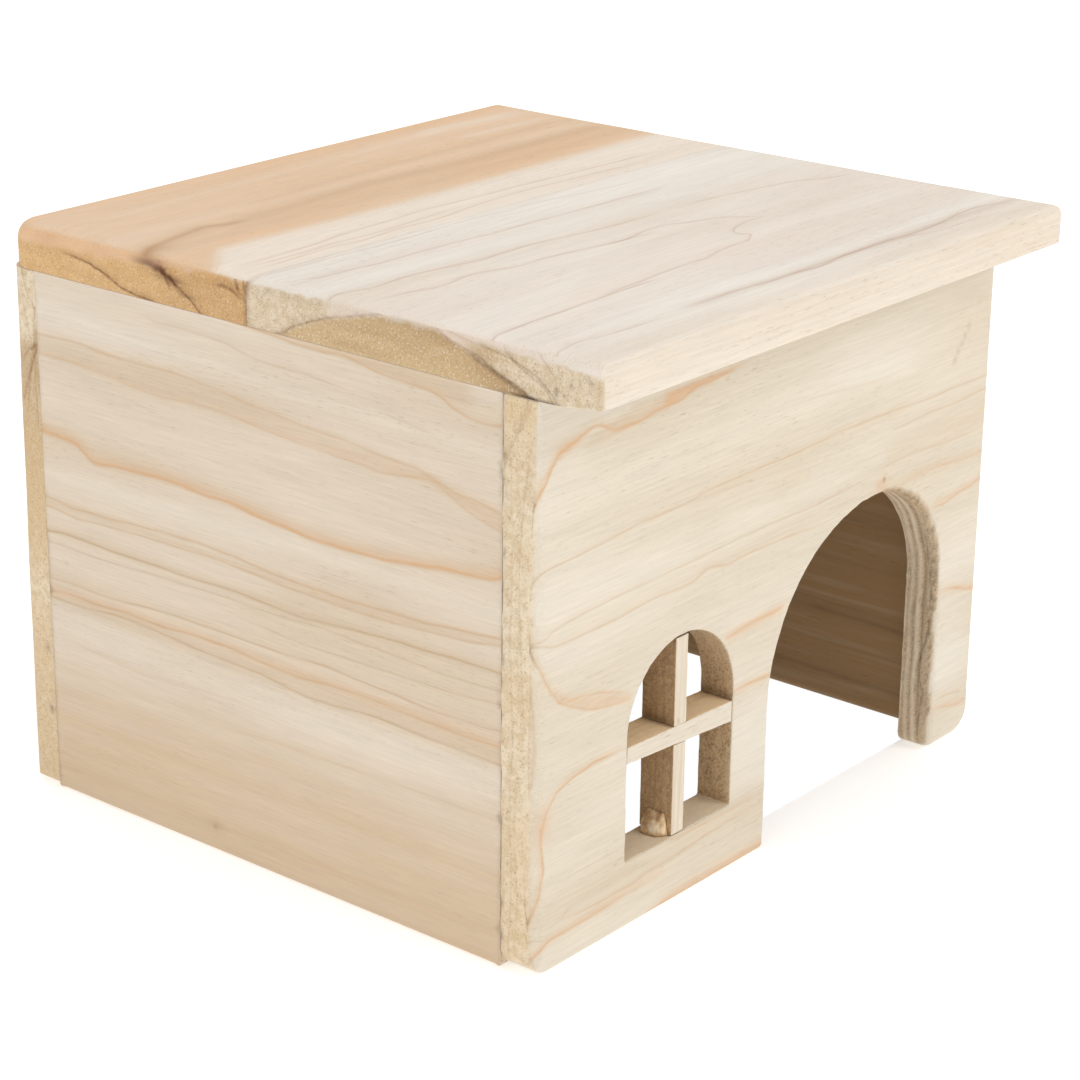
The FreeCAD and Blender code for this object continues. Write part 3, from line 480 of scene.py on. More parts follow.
ROOF_LINES = [
    (0.25, 0.36, 0.5, [(-71.2, 15.6), (-65.1, 15.2), (-57.4, 15.6), (-49.6, 16), (-40.8, 17.1), (-32.6, 17.5), (-24.1, 17.9), (-15.6, 18.4), (-7.6, 18), (0.5, 17.7), (8.7, 17.4), (17.1, 17.1), (25.6, 16.7), (34.4, 16.4), (43.3, 16), (52.4, 15.6), (58.3, 15)]),
    (0.22, 0.3, 0.5, [(-70.8, 14.2), (-64.8, 13.4), (-55.4, 13.3), (-46, 13.6), (-37.3, 13.2), (-27.5, 13.5), (-17, 14.2), (-7.5, 14.5)]),
    (0.24, 0.3, 0.5, [(-71.3, 11.9), (-64.1, 11.2), (-51.5, 12), (-41, 11.1), (-29.1, 12), (-18.4, 11.5), (-4.8, 13.2), (8.7, 13.8), (21.4, 13.3), (34.3, 12.6), (47.2, 11.6)]),
    (0.22, 0.25, 0.5, [(-73.7, 7.4), (-66.6, 6.7), (-57.3, 6.5), (-46.3, 6.2), (-33.6, 5.9), (-16.8, 6.4), (-5.5, 5.4), (7, 5.1), (21.8, 2.7), (40.8, 1.7)]),
    (0.26, 0.42, 0.55, [(-70.7, 0.6), (-65.8, -1.5), (-57.6, -2.1), (-50.3, -3), (-39.5, -3), (-28.1, -3.4), (-20.3, -4.3), (-8.7, -4.3), (3.6, -4.8), (16.3, -5.2), (31.6, -5.3)]),
    (0.26, 0.42, 0.6, [(-72.9, -11.7), (-68.6, -12.4), (-64, -13.5), (-54.4, -12.9), (-47.1, -13.8), (-38, -15.3), (-30, -15.2), (-21.8, -15.2), (-10.9, -16.5), (0.4, -17.7), (14.9, -18)]),
    (0.28, 0.42, 0.55, [(-69.7, -19.4), (-62.8, -20.4), (-55.1, -22.1), (-48.5, -21), (-41.5, -21.7), (-35.9, -23.6), (-27.9, -23.6), (-17.2, -25), (-6.3, -26.3), (2.6, -27.4)]),
    (0.28, 0.5, 0.55, [(-74.9, -50.1), (-66.6, -49.3), (-58.9, -49), (-50.9, -48.8), (-42.8, -48.5), (-34.4, -48.2), (-24.8, -48.3)]),
    (0.26, 0.34, 0.5, [(-73.4, -64), (-67.8, -63), (-63.1, -63.4), (-57, -64), (-51.1, -64.3), (-45.8, -64.3)]),
    (0.24, 0.35, 0.5, [(23.8, -18), (35.3, -19.4), (45.6, -21), (54.1, -22.6), (63.3, -26.8), (69.7, -27.8)]),
    (0.24, 0.3, 0.5, [(11.5, -5.4), (18.4, -6.2), (25.3, -6.2), (34.8, -5.1)]),
    (0.26, 0.42, 0.5, [(-14, -25.7), (-7.4, -26.3), (0.8, -25), (7.3, -25.2), (12.4, -27.3), (19.3, -29.6), (23, -32.7), (26, -35.3)]),
    (0.26, 0.4, 0.5, [(25.6, -35.6), (21.3, -35.4), (16.4, -36.1), (11.9, -38.2), (11.6, -40.6), (12.9, -41.4), (8.6, -44.2), (4.1, -44.3), (-2.8, -45), (-8.2, -46.2), (-13.6, -46), (-20.5, -46.3), (-29.6, -47.1), (-36.2, -47.4), (-42.3, -48.1)]),
    (0.3, 0.55, 0.55, [(-33.7, -63.7), (-22.9, -63.8), (-13.9, -64.7), (-5.5, -64.8), (2.3, -65.5), (13, -64.4), (25.2, -64.5), (34.9, -65.1), (44.2, -64.7), (54.3, -63.3), (61, -63.3), (69.9, -65.7)]),
    (0.24, 0.3, 0.5, [(-6.2, -64.7), (5.7, -64.5), (17.7, -64.7), (29, -65.4), (39.5, -67.7), (52, -68.1), (58.7, -68.9)]),
]

ROOF_END_LINES = [
    (0.28, 0.75, 0.2, [(59.8, 116.5), (55.7, 115.8), (51.7, 115.4), (48.7, 114.5), (45.8, 113.6), (41.9, 111.9), (37.1, 111.2)]),
    (0.3, 0.7, 0.4, [(33.1, 121.1), (32.5, 119.5), (31.8, 118.6)]),
    (0.28, 0.7, 0.3, [(29.5, 116.6), (26.2, 114.8), (23.5, 113.2), (20.9, 111.2)]),
    (0.78, 1.0, 0.2, [(34.3, 117.8), (32.9, 118.1), (31.6, 117.7), (30.2, 117.0), (28.9, 116.4)]),
    (0.45, 0.95, 0.2, [(29.3, 116.6), (28.0, 116.0), (26.6, 115.1)]),
    (0.3, 0.7, 0.3, [(12.8, 121.3), (12, 119.1), (10.6, 117.3), (9, 115.9)]),
    (0.25, 0.7, 0.4, [(10.8, 121.4), (10.3, 119.7), (9.2, 117.9), (8.2, 116.5)]),
    (0.22, 0.6, 0.6, [(8.6, 121.6), (8.7, 119.3), (8.2, 117.4)]),
    (0.4, 0.6, 0.1, [(16.7, 117.2), (13, 117.2), (9.3, 115.5)]),
    (0.3, 0.75, 0.1, [(-0.5, 111.3), (-3.4, 113), (-8.2, 115), (-12.9, 116.5), (-16.3, 117.3), (-20.3, 118.3), (-25.6, 119.5), (-29.4, 119.9), (-33.3, 119.8), (-37.1, 119.2), (-40.3, 118.1), (-44, 117.1), (-47.1, 116.3), (-50.2, 114.9), (-53.3, 113.6), (-56.4, 112.5), (-58.8, 111.3), (-61.2, 110.6)]),
    (0.22, 0.5, 0.3, [(-30.7, 120.2), (-35.8, 120), (-40.9, 119.1), (-45.3, 118.5), (-50.2, 118), (-53.9, 117.4), (-56.9, 116.5), (-60, 115.4), (-62.4, 113.8), (-64.2, 112.2)]),
    (0.2, 0.42, 0.3, [(-50.8, 120.9), (-52.4, 119.5), (-54.5, 117.5), (-57, 116), (-60, 114.5), (-62.4, 113.3), (-63.7, 111.6)]),
    (0.2, 0.5, 0.1, [(-59.6, 120.7), (-61.1, 118.8), (-63, 117.3), (-64.5, 115.6), (-64.8, 113.3)]),
]

BACK_END_LINES = [
    (0.2, 0.4, 0.2, [(70.5, 109.9), (69.3, 105.7), (67.5, 103.2), (67.8, 98)]),
    (0.2, 0.35, 0.2, [(71.2, 107.6), (70.2, 102.1), (69.3, 97.7)]),
    (0.35, 0.7, 0.1, [(71.6, 91.3), (70.3, 93.6), (67.4, 95.6)]),
    (0.3, 0.6, 0.1, [(70.1, 88.3), (68.6, 91.9), (67.5, 94.2)]),
    (0.25, 0.5, 0.2, [(69.8, 87.5), (70.3, 84.7), (70.9, 81)]),
    (0.25, 0.4, 0.2, [(67.6, 93.5), (68, 88.3), (68, 83.7)]),
]



# ---------------------------------------------------------------- materials

def lin(c, k=1.0):
    out = []
    for v in c:
        v = v / 255.0
        v = v / 12.92 if v <= 0.04045 else ((v + 0.055) / 1.055) ** 2.4
        out.append(min(1.0, v * k))
    return (out[0], out[1], out[2], 1.0)


class Net:
    def __init__(self, name):
        self.m = bpy.data.materials.new(name)
        self.m.use_nodes = True
        self.t = self.m.node_tree
        self.t.nodes.clear()
        self.out = self.t.nodes.new("ShaderNodeOutputMaterial")
        self.bsdf = self.t.nodes.new("ShaderNodeBsdfPrincipled")
        self.t.links.new(self.bsdf.outputs[0], self.out.inputs[0])

    def put(self, sock, v):
        if isinstance(v, bpy.types.NodeSocket):
            self.t.links.new(v, sock)
        elif v is not None:
            sock.default_value = v

    def math(self, op, a, b=None, c=None, clamp=False):
        n = self.t.nodes.new("ShaderNodeMath")
        n.operation = op
        n.use_clamp = clamp
        for s, v in zip(n.inputs, (a, b, c)):
            self.put(s, v)
        return n.outputs[0]

    def vec(self, op, a, b=None, scale=None):
        n = self.t.nodes.new("ShaderNodeVectorMath")
        n.operation = op
        self.put(n.inputs[0], a)
        self.put(n.inputs[1], b)
        if scale is not None:
            self.put(n.inputs["Scale"], scale)
        return n.outputs[0]

    def mix(self, f, a, b):
        n = self.t.nodes.new("ShaderNodeMix")
        n.data_type = "RGBA"
        n.clamp_factor = True
        self.put(n.inputs[0], f)
        self.put(n.inputs[6], a)
        self.put(n.inputs[7], b)
        return n.outputs[2]

    def noise(self, v, scale=1.0, detail=2.0, rough=0.5, dist=0.0):
        n = self.t.nodes.new("ShaderNodeTexNoise")
        self.put(n.inputs["Vector"], v)
        n.inputs["Scale"].default_value = scale
        n.inputs["Detail"].default_value = detail
        n.inputs["Roughness"].default_value = rough
        n.inputs["Distortion"].default_value = dist
        return n.outputs[0]

    def step(self, v, a, b, lo=0.0, hi=1.0):
        n = self.t.nodes.new("ShaderNodeMapRange")
        n.interpolation_type = "SMOOTHSTEP"
        self.put(n.inputs[0], v)
        n.inputs[1].default_value = a
        n.inputs[2].default_value = b
        n.inputs[3].default_value = lo
        n.inputs[4].default_value = hi
        return n.outputs[0]

    def attr(self, name):
        n = self.t.nodes.new("ShaderNodeAttribute")
        n.attribute_type = "GEOMETRY"
        n.attribute_name = name
        return n.outputs["Vector"]

    def sep(self, v):
        n = self.t.nodes.new("ShaderNodeSeparateXYZ")
        self.put(n.inputs[0], v)
        return n.outputs[0], n.outputs[1], n.outputs[2]


def wood(name, axis, pal, offset, vary=1.0, fibre=1.0, rough=0.62):
    """Bare sanded softwood. Growth lines, tan and orange stripes, end grain
    and saw-cut faces come from the mesh's own attributes; the fibres,
    vessels, pits and slow colour changes are made here."""
    g = Net(name)
    L = {k: lin(v, pal.get("k", 1.0)) for k, v in pal.items() if k != "k"}
    tc = g.t.nodes.new("ShaderNodeTexCoord")
    p = g.vec("MULTIPLY", tc.outputs["Object"], (1000.0, 1000.0, 1000.0))
    p = g.vec("ADD", p, offset)

    def stretch(along, across):
        v = [1.0 / across] * 3
        v["XYZ".index(axis)] = 1.0 / along
        return g.vec("MULTIPLY", p, tuple(v))

    low = g.noise(stretch(85, 15), detail=2)
    mid = g.noise(stretch(42, 2.4), detail=3, rough=0.55)
    fib = g.noise(stretch(11, 0.36), detail=2, rough=0.6)
    ves = g.noise(stretch(2.8, 0.26), detail=1)
    iso = g.noise(p, scale=1 / 0.42, detail=2, rough=0.6)
    iso2 = g.noise(p, scale=1 / 1.7, detail=3, rough=0.55)
    way = g.noise(stretch(7, 2.2), detail=2)

    orange_line, tan_a, orange_a = g.sep(g.attr("tone"))
    eg, cut, pale_a = g.sep(g.attr("zone"))
    dark_a, brown_a, rough_a = g.sep(g.attr("wear"))

    c = g.mix(g.math("MULTIPLY", g.step(low, 0.35, 0.68), vary), L["base"], L["base2"])
    midk = g.math("MULTIPLY_ADD", mid, 0.7, 0.65)
    c = g.mix(g.math("MULTIPLY", tan_a, midk, clamp=True), c, L["tan"])
    c = g.mix(g.math("MULTIPLY", orange_a, midk, clamp=True), c, L["orange"])
    c = g.mix(g.math("MULTIPLY", brown_a, midk, clamp=True), c, L["brown"])
    c = g.mix(pale_a, c, L["pale"])
    k1 = g.math("MULTIPLY_ADD", mid, 0.10 * fibre, 1 - 0.05 * fibre)
    k2 = g.math("MULTIPLY_ADD", fib, 0.26 * fibre, 1 - 0.13 * fibre)
    c = g.vec("SCALE", c, scale=g.math("MULTIPLY", k1, k2))
    vm = g.math("MULTIPLY", g.step(ves, 0.64, 0.75, 0.0, 0.46 * fibre), g.step(low, 0.4, 0.6, 0.25, 1.0))
    c = g.mix(vm, c, L["grey"])

    # end grain: even, pitted, a little darker in patches
    ec = g.mix(g.step(iso2, 0.35, 0.68), L["endc"], L["endc2"])
    ec = g.mix(g.math("MULTIPLY", tan_a, 1.0, clamp=True), ec, L["endt"])
    ec = g.mix(g.math("MULTIPLY", brown_a, 1.0, clamp=True), ec, L["endb"])
    ec = g.mix(g.step(iso, 0.55, 0.70, 0.0, 0.50), ec, L["pit"])
    ec = g.mix(g.step(iso, 0.43, 0.31, 0.0, 0.46), ec, L["pale"])
    c = g.mix(eg, c, ec)

    # sawn faces: torn fibres and open pits, and pale patches, which on upward faces are painted light
    cc = g.mix(g.step(iso2, 0.38, 0.66), L["cutc"], L["cutd"])
    cc = g.mix(g.math("MULTIPLY", tan_a, 0.9, clamp=True), cc, L["cutt"])
    cc = g.mix(g.step(iso, 0.54, 0.68, 0.0, 0.75), cc, L["pitd"])
    cc = g.mix(g.step(iso, 0.46, 0.34, 0.0, 0.75), cc, L["cutl"])
    cc = g.mix(g.math("MULTIPLY", pale_a, 0.9, clamp=True), cc, L["cutp"])
    c = g.mix(cut, c, cc)

    # growth lines
    wob = g.math("MULTIPLY_ADD", way, 1.9, -0.95)
    vary_s = g.math("MULTIPLY_ADD", g.noise(stretch(9, 1.1), detail=2), 1.5, 0.28)
    total = None
    for da, sa in (("linea", "strenga"), ("lineb", "strengb")):
        d3 = g.sep(g.attr(da))
        s3 = g.sep(g.attr(sa))
        for d, s in zip(d3, s3):
            d = g.math("ADD", d, wob)
            core = g.math("EXPONENT", g.math("MULTIPLY", g.math("MULTIPLY", d, d), -1.15))
            up = g.math("MULTIPLY", g.math("MAXIMUM", d, 0.0), 0.27)
            dn = g.math("MULTIPLY", g.math("MINIMUM", d, 0.0), 0.8)
            h = g.math("ADD", up, dn)
            halo = g.math("EXPONENT", g.math("MULTIPLY", g.math("MULTIPLY", h, h), -1.0))
            m = g.math("MULTIPLY", s, g.math("MULTIPLY_ADD", halo, 0.34, g.math("MULTIPLY", core, 0.70)))
            total = m if total is None else g.math("ADD", total, m)
    total = g.math("MULTIPLY", total, vary_s, clamp=True)
    lc = g.mix(orange_line, L["grey"], L["oline"])
    lc = g.mix(g.math("MAXIMUM", eg, cut, clamp=True), lc, L["dline"])
    c = g.mix(total, c, lc)
    # dark marks: pits, knots and splits, and painted shade where the window slats meet the frame and each other
    c = g.mix(dark_a, c, L["dark"])
    g.put(g.bsdf.inputs["Base Color"], c)

    rv = g.math("MULTIPLY_ADD", fib, 0.22, rough - 0.11)
    rv = g.math("MULTIPLY_ADD", eg, 0.16, rv)
    rv = g.math("MULTIPLY_ADD", cut, 0.22, rv, clamp=True)
    g.put(g.bsdf.inputs["Roughness"], rv)
    g.bsdf.inputs["Specular IOR Level"].default_value = 0.28

    rg = g.math("MAXIMUM", g.math("MAXIMUM", eg, cut), rough_a, clamp=True)
    h = g.math("MULTIPLY", fib, 0.45)
    h = g.math("MULTIPLY_ADD", g.math("MULTIPLY", iso, rg), 1.5, h)
    h = g.math("MULTIPLY_ADD", g.math("MULTIPLY", iso2, cut), 1.6, h)
    h = g.math("MULTIPLY_ADD", total, -0.25, h)
    h = g.math("MULTIPLY_ADD", vm, -0.8, h)
    b = g.t.nodes.new("ShaderNodeBump")
    b.inputs["Strength"].default_value = 0.42
    b.inputs["Distance"].default_value = 0.00022
    g.put(b.inputs["Height"], h)
    g.put(g.bsdf.inputs["Normal"], b.outputs[0])
    return g.m


WALL = dict(k=0.83, base=(238, 228, 211), base2=(230, 217, 196), tan=(217, 189, 152), orange=(231, 188, 146),
            pale=(244, 237, 223), grey=(198, 174, 143), oline=(227, 188, 148), brown=(180, 149, 115),
            endc=(250, 234, 207), endc2=(232, 210, 175), endt=(236, 206, 160), endb=(196, 162, 120),
            pit=(178, 146, 110), cutc=(186, 157, 118), cutd=(154, 124, 87), pitd=(104, 78, 52),
            cutl=(226, 208, 172), cutp=(255, 234, 200), cutt=(222, 187, 144), dline=(164, 130, 92), dark=(60, 42, 28))
WALL_L = dict(WALL, base=(238, 223, 204), base2=(231, 213, 190), grey=(200, 178, 146))
# inner face of the right board: its darker brown is partly the rough inner face and partly painted shade of the house's
# inside
WALL_IN = dict(WALL, brown=(161, 129, 89), grey=(128, 100, 68), oline=(120, 90, 62), pale=(190, 160, 120))
ROOF_R = dict(WALL, k=0.98, base=(234, 212, 190), base2=(228, 201, 172), tan=(222, 188, 151), orange=(230, 190, 150),
              pale=(238, 228, 215), grey=(186, 150, 122), oline=(202, 150, 112), brown=(190, 152, 116),
              endc=(220, 185, 138), endc2=(205, 168, 119), endt=(221, 176, 119), endb=(178, 138, 91),
              pit=(142, 104, 68), dline=(118, 78, 50), dark=(84, 44, 32))
ROOF_F = dict(WALL, k=0.98, base=(236, 229, 219), base2=(230, 220, 208), tan=(220, 203, 178), orange=(228, 201, 180),
              pale=(241, 237, 229), grey=(186, 162, 144), oline=(202, 166, 144), brown=(180, 152, 126),
              endc=(224, 208, 184), endc2=(208, 188, 158), endt=(200, 168, 118), endb=(172, 138, 98),
              pit=(152, 126, 96), dline=(124, 94, 64))


# ---------------------------------------------------------------- boards

def put_attr(me, name, a, b, c):
    at = me.attributes.new(name, "FLOAT_VECTOR", "POINT")
    at.data.foreach_set("vector", np.stack([a, b, c], 1).astype(np.float32).ravel())


def board(name, geo, to3, paint, mat, nodes, push=None, after=None):
    """Makes the mesh of one board, paints its attributes and lets it stand
    for its CAD node."""
    disp = push(geo) if push is not None else np.zeros(len(geo["w"]))
    q = geo["p"] + geo["inn"][:, :2] * disp[:, None]
    w = geo["w"] + geo["inn"][:, 2] * disp
    P = to3(q, w)
    if after is not None:
        P = after(P)
    me = bpy.data.meshes.new(name)
    me.from_pydata((P * 0.001).tolist(), [], geo["faces"])
    me.validate()
    bm = bmesh.new()
    bm.from_mesh(me)
    bmesh.ops.recalc_face_normals(bm, faces=bm.faces)
    for f in bm.faces:
        f.smooth = True
    bm.to_mesh(me)
    bm.free()
    n = len(me.vertices)
    N = np.zeros(n * 3, np.float32)
    me.vertex_normals.foreach_get("vector", N)
    N = N.reshape(-1, 3)
    a = {k: np.zeros(n) for k in ("tan", "orange", "eg", "cut", "pale", "dark", "brown", "rough")}
    a["D"] = np.full((n, CH), 12.0)
    a["S"] = np.zeros((n, CH))
    a["OR"] = np.zeros(n)
    paint(a, geo, P, N)
    for k in ("tan", "orange", "eg", "cut", "pale", "dark", "brown", "rough"):
        a[k] = np.clip(a[k], 0, 1)
    put_attr(me, "linea", *a["D"].T[:3])
    put_attr(me, "lineb", *a["D"].T[3:6])
    put_attr(me, "strenga", *a["S"].T[:3])
    put_attr(me, "strengb", *a["S"].T[3:6])
    put_attr(me, "tone", a["OR"], a["tan"], a["orange"])
    put_attr(me, "zone", a["eg"], a["cut"], a["pale"])
    put_attr(me, "wear", a["dark"], a["brown"], a["rough"])
    me.materials.append(mat)
    ob = bpy.data.objects.new(name, me)
    bpy.context.scene.collection.objects.link(ob)
    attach(ob, "root")
    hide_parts(*nodes)
    return ob


def heavier(lines, wide, strong, orange=0.0):
    return [(h * wide, s * strong, min(1.0, o + orange), p) for h, s, o, p in lines]


def use(a, weight, got, gain=None):
    """Takes lines for the vertices where this face's weight leads."""
    D, S, OR = got
    if gain is not None:
        S = S * gain[:, None]
    m = weight > 0.02
    a["D"][m] = D[m]
    a["S"][m] = S[m] * smooth(weight, 0.05, 0.6)[m][:, None]
    a["OR"][m] = OR[m]


# ---------------------------------------------------------------- front panel

pi = math.pi
WX, WR, SILL, SPRING = -31.5, 16.5, 13.8, 38.4

front_outer = path([
    ("P", -75, 0, 4.4), ("P", -2.75, 0, 1.1),
    ("A", 32, 30.25, 34.75, pi, pi / 2), ("A", 32, 38.75, 26.25, pi / 2, 0),
    ("P", 58.25, 0, 2.6), ("P", 75, 0, 6.0), ("P", 75, 110.8, 0.6), ("P", -75, 110.8, 0.25)], 1.0)
front_hole = path([
    ("P", WX - WR, SILL, 0.35), ("A", WX, SPRING, WR, pi, 0), ("P", WX + WR, SILL, 0.35)], 0.8)


def front_rf(p):
    x, z = p[:, 0], p[:, 1]
    r = np.full(len(p), 0.9)
    left = smooth(-x, 74.0, 75.0)
    r = r * (1 - left) + left * np.interp(z, [0, 14, 60, 112], [4.6, 4.2, 3.2, 1.8])
    right = smooth(x, 74.0, 75.0)
    r = r * (1 - right) + right * 2.8
    door = (x > -3.2) & (x < 59) & (z < 66) & (z > 0.2)
    rr = np.where(x < 24, 0.7, np.interp(x, [24, 36, 50, 58.25], [0.7, 2.0, 2.7, 2.1]))
    rr = rr + np.where(x > 30, 0.35 * wander(z, 5, 5.0), 0.08 * wander(z, 6, 1.6))
    r = np.where(door, rr, r)
    hole = (np.abs(x - WX) <= WR + 0.01) & (z > 13) & (z < 56)
    r = np.where(hole, 0.4 + 0.12 * wander(x + z * 1.7, 8, 2.2), r)
    r = np.where((z > 110.6) & (np.abs(x) < 74.9), 0.12, r)
    leg = smooth(x, 57.5, 58.3) * smooth(z, 10.0, 5.0)
    r = r * (1 - leg) + 2.6 * leg
    return np.maximum(r, 0.12)


def front_rb(p):
    x, z = p[:, 0], p[:, 1]
    r = np.full(len(p), 0.45) + 0.12 * wander(x + 2 * z, 9, 3.0)
    return np.where(x < -74, 0.05 + 0.04 * wander(z, 9, 2.0), r)


fg = slab([front_outer, front_hole], 8.0, front_rf, front_rb, 1.0, 3.0, 13)


def front_to3(q, w):
    return np.stack([q[:, 0], -61.0 + w, q[:, 1]], 1)


def door_edge(q):
    return (q[:, 0] > -3.4) & (q[:, 0] < 58.9) & (q[:, 1] < 65.6) & (q[:, 1] > 0.15)


def front_push(g):
    q, w, inn = g["p"], g["w"], g["inn"]
    x, z = q[:, 0], q[:, 1]
    flat = g["inn"][:, 2] > 0.99
    d = np.where(flat, 0.06 + 0.06 * wander2(x, z, 11, 34, 19), 0.0)
    wall = np.hypot(inn[:, 0], inn[:, 1])
    # right jamb and right half of the arch: sawn in layers that run round it
    ln = g["ln"]
    dr = (g["loop"] == 0) & door_edge(q) & (x > 30)
    s = g["s"]
    fade = smooth(x, 30, 44) * wall
    shift = 0.9 * wander(s, 21, 26) + 0.35 * wander(s, 22, 7)
    ww = w + shift
    ridge = (0.42 * bump1(ww, 3.3, 0.55) + 0.30 * bump1(ww, 5.4, 0.5) + 0.26 * bump1(ww, 7.2, 0.45)
             + 0.12 * bump1(ww, 1.6, 0.5))
    ridge = ridge * (0.55 + 0.45 * wander(s, 23, 19)) + 0.12 * (1 + wander2(s, w * 3, 24, 1.1, 0.9)) * (1 - 0.6 * bump1(w, 5.5, 1.5))
    d = np.where(dr, np.maximum(ridge, 0) * fade, d)
    # left half: crisp, with faint saw teeth
    dl = (g["loop"] == 0) & door_edge(q) & (x <= 30)
    d = np.where(dl, wall * (0.10 + 0.10 * wander(s, 25, 1.7)), d)
    # window: torn end grain on the jambs
    hw = g["loop"] == 1
    d = np.where(hw, wall * (0.05 + 0.06 * (1 + wander2(s, w * 2, 26, 0.9, 1.1))), d)
    # rough seams where the side panel is glued on
    seam = (g["loop"] == 0) & (np.abs(x + 75) < 0.6) & (w > 6.8)
    d = np.where(seam, 0.10 * (1 + wander(z, 27, 2.3)) * smooth(w, 6.8, 7.6), d)
    return d


def front_paint(a, g, P, N):
    U, V = g["un"][:, 0], g["un"][:, 1]
    x, y, z = P.T
    ff = smooth(-N[:, 1], 0.34, 0.66)
    bf = smooth(N[:, 1], 0.34, 0.66)
    le = smooth(-N[:, 0], 0.72, 0.92) * (x < -68)
    re = smooth(N[:, 0], 0.72, 0.92) * (x > 68)
    use(a, le, lay_lines(np.stack([y, z], 1), heavier(FRONT_END_LINES, 1.1, 0.42), (-61, -53, 0, 112)))
    use(a, bf, lay_lines(np.stack([x, z], 1), BACK_OF_FRONT, (-75, 75, 0, 112)))
    use(a, ff, lay_lines(np.stack([U, V], 1), heavier(FRONT_LINES, 1.2, 1.06, 0.05), (-77.5, 75, 0, 112)))
    # soft colour on the face
    t = np.zeros(len(x))
    o = np.zeros(len(x))
    pl = np.zeros(len(x))
    br = np.zeros(len(x))
    t += 0.16 * smooth(V, 96, 112) * smooth(U, -20, 40)
    t += 0.14 * smooth(U, 20, 70) * smooth(V, 60, 74)
    t += band(U, V, [(36, 65.8), (50, 65.9), (58, 65.5), (73, 64.8)], 1.2, 1.6, 0.30)
    t += band(U, V, [(40, 73.6), (52, 73.8), (75, 72.9)], 2.4, 2.0, 0.22)
    t += band(U, V, [(-76, 67.5), (-54, 66.5), (-30, 66.8), (20, 67)], 1.6, 1.6, 0.14)
    t += blob(U, V, 1, 76, 7, 3.2, 0.20)
    t += between(U, V, [(-60, 98.5), (-46, 100.3), (-15, 103.6)], [(-60, 101), (-47, 104.1), (-29, 104.2), (-15, 104.0)], 0.4, 0.30)
    t += band(U, V, [(-75, 12), (-40, 12.5), (-4, 12.0)], 3.0, 4.0, 0.13)
    t += band(U, V, [(-75, 24), (-50, 26), (-48, 26)], 6.0, 6.0, 0.06)
    t += band(U, V, [(59, 52), (75, 52)], 5.0, 5.0, 0.10)
    o += between(U, V, [(-38, 101.3), (-30, 102.7), (-17, 103.8)], [(-38, 103.8), (-29, 103.9), (-15, 104.1)], 0.3, 0.75, 3)
    o += between(U, V, [(-74, 95), (-70, 98.4), (-66, 100.2), (-62, 101.4)], [(-74, 96.5), (-70, 99.8), (-66, 101.4), (-62, 102.4)], 0.4, 0.45, 2)
    o += blob(U, V, -67.2, 100.8, 3.2, 1.0, 0.5)
    o += between(U, V, [(-73.5, 58), (-70, 55.2), (-66, 52.0), (-60, 49.3), (-54, 47.8), (-48, 46.8)],
                 [(-73.5, 58.6), (-70, 55.9), (-66, 53.4), (-60, 51.8), (-54, 50.2), (-48, 48.0)], 0.4, 0.42, 2)
    o += blob(U, V, -72.2, 30.5, 1.8, 3.4, 0.42)
    o += band(U, V, [(-76, 2.0), (-72, 5.9), (-66, 6.6), (-50, 7.2), (-40, 7.4)], 1.2, 0.8, 0.32)
    o += band(U, V, [(-33, 0.7), (-20, 1.0), (-4, 1.1)], 1.5, 1.0, 0.42)
    o += band(U, V, [(-17, 50.1), (-8, 50.6), (0, 51.0)], 0.5, 1.2, 0.45, 2)
    o += band(U, V, [(-16, 37.9), (-8, 37.9), (-3, 37.6)], 0.5, 1.1, 0.42, 2)
    o += band(U, V, [(56, 57.3), (64, 58.1), (73, 58.6)], 0.9, 0.8, 0.30, 3)
    o += band(U, V, [(60, 36.4), (73, 33.8)], 0.9, 0.7, 0.40, 2)
    o += band(U, V, [(60, 9.4), (73, 7.2)], 1.1, 0.7, 0.35, 2)
    o += blob(U, V, 34.4, 67.3, 2.4, 1.4, 0.55)
    o += band(U, V, [(-20, 81.4), (20, 81.9), (40, 81.7)], 0.5, 1.3, 0.10)
    br += blob(U, V, 35.2, 67.9, 0.28, 0.8, 0.9)
    # the short feathery mark near the upper right corner
    for (mu, mv) in ((60.0, 88.0), (61.0, 89.4), (62.2, 90.6), (63.3, 92.1), (64.6, 93.9)):
        br += blob(U, V, mu, mv, 0.5, 0.9, 0.34)
    br += blob(U, V, 59.6, 87.2, 0.6, 0.5, 0.3)
    pl += band(U, V, [(-76, 90), (-40, 91), (40, 92)], 4, 4, 0.35)
    pl += blob(U, V, 62, 22, 9, 12, 0.5) + blob(U, V, -4, 26, 10, 9, 0.35)
    a["tan"] += t * ff
    a["orange"] += o * ff
    a["pale"] += pl * ff
    a["brown"] += br * ff
    a["tan"] += 0.35 * bf
    # the left end: end grain, tan and pitted
    ends = np.maximum(le, re)
    a["eg"] += ends
    a["tan"] += le * (0.15 + 0.35 * bump1(z, 108, 4) + 0.2 * wander(z, 31, 9))
    a["brown"] += le * (0.05 + 0.10 * smooth(y, -54.6, -53.2) * (0.5 + 0.5 * wander(z, 32, 4)) + 0.08 * bump1(z, 100, 9))
    for vy, vz, ry, rz in ((-53.4, 99.3, .5, 1.1), (-53.2, 95.0, .5, .9), (-53.4, 81.5, .5, 1.0), (-53.2, 29.9, .4, .8),
                           (-53.4, 13.4, .5, .9), (-53.3, 6.9, .5, 1.3), (-55.7, 10.1, .6, .4), (-53.3, 61.0, .4, 1.0)):
        a["dark"] += le * 0.5 * np.exp(-((y - vy) / (ry * 0.8)) ** 2 - ((z - vz) / (rz * 0.8)) ** 2)
    a["dark"] += 0.06 * le * smooth(y, -53.6, -53.1) * np.clip(wander(z, 33, 2.2), 0, 1)
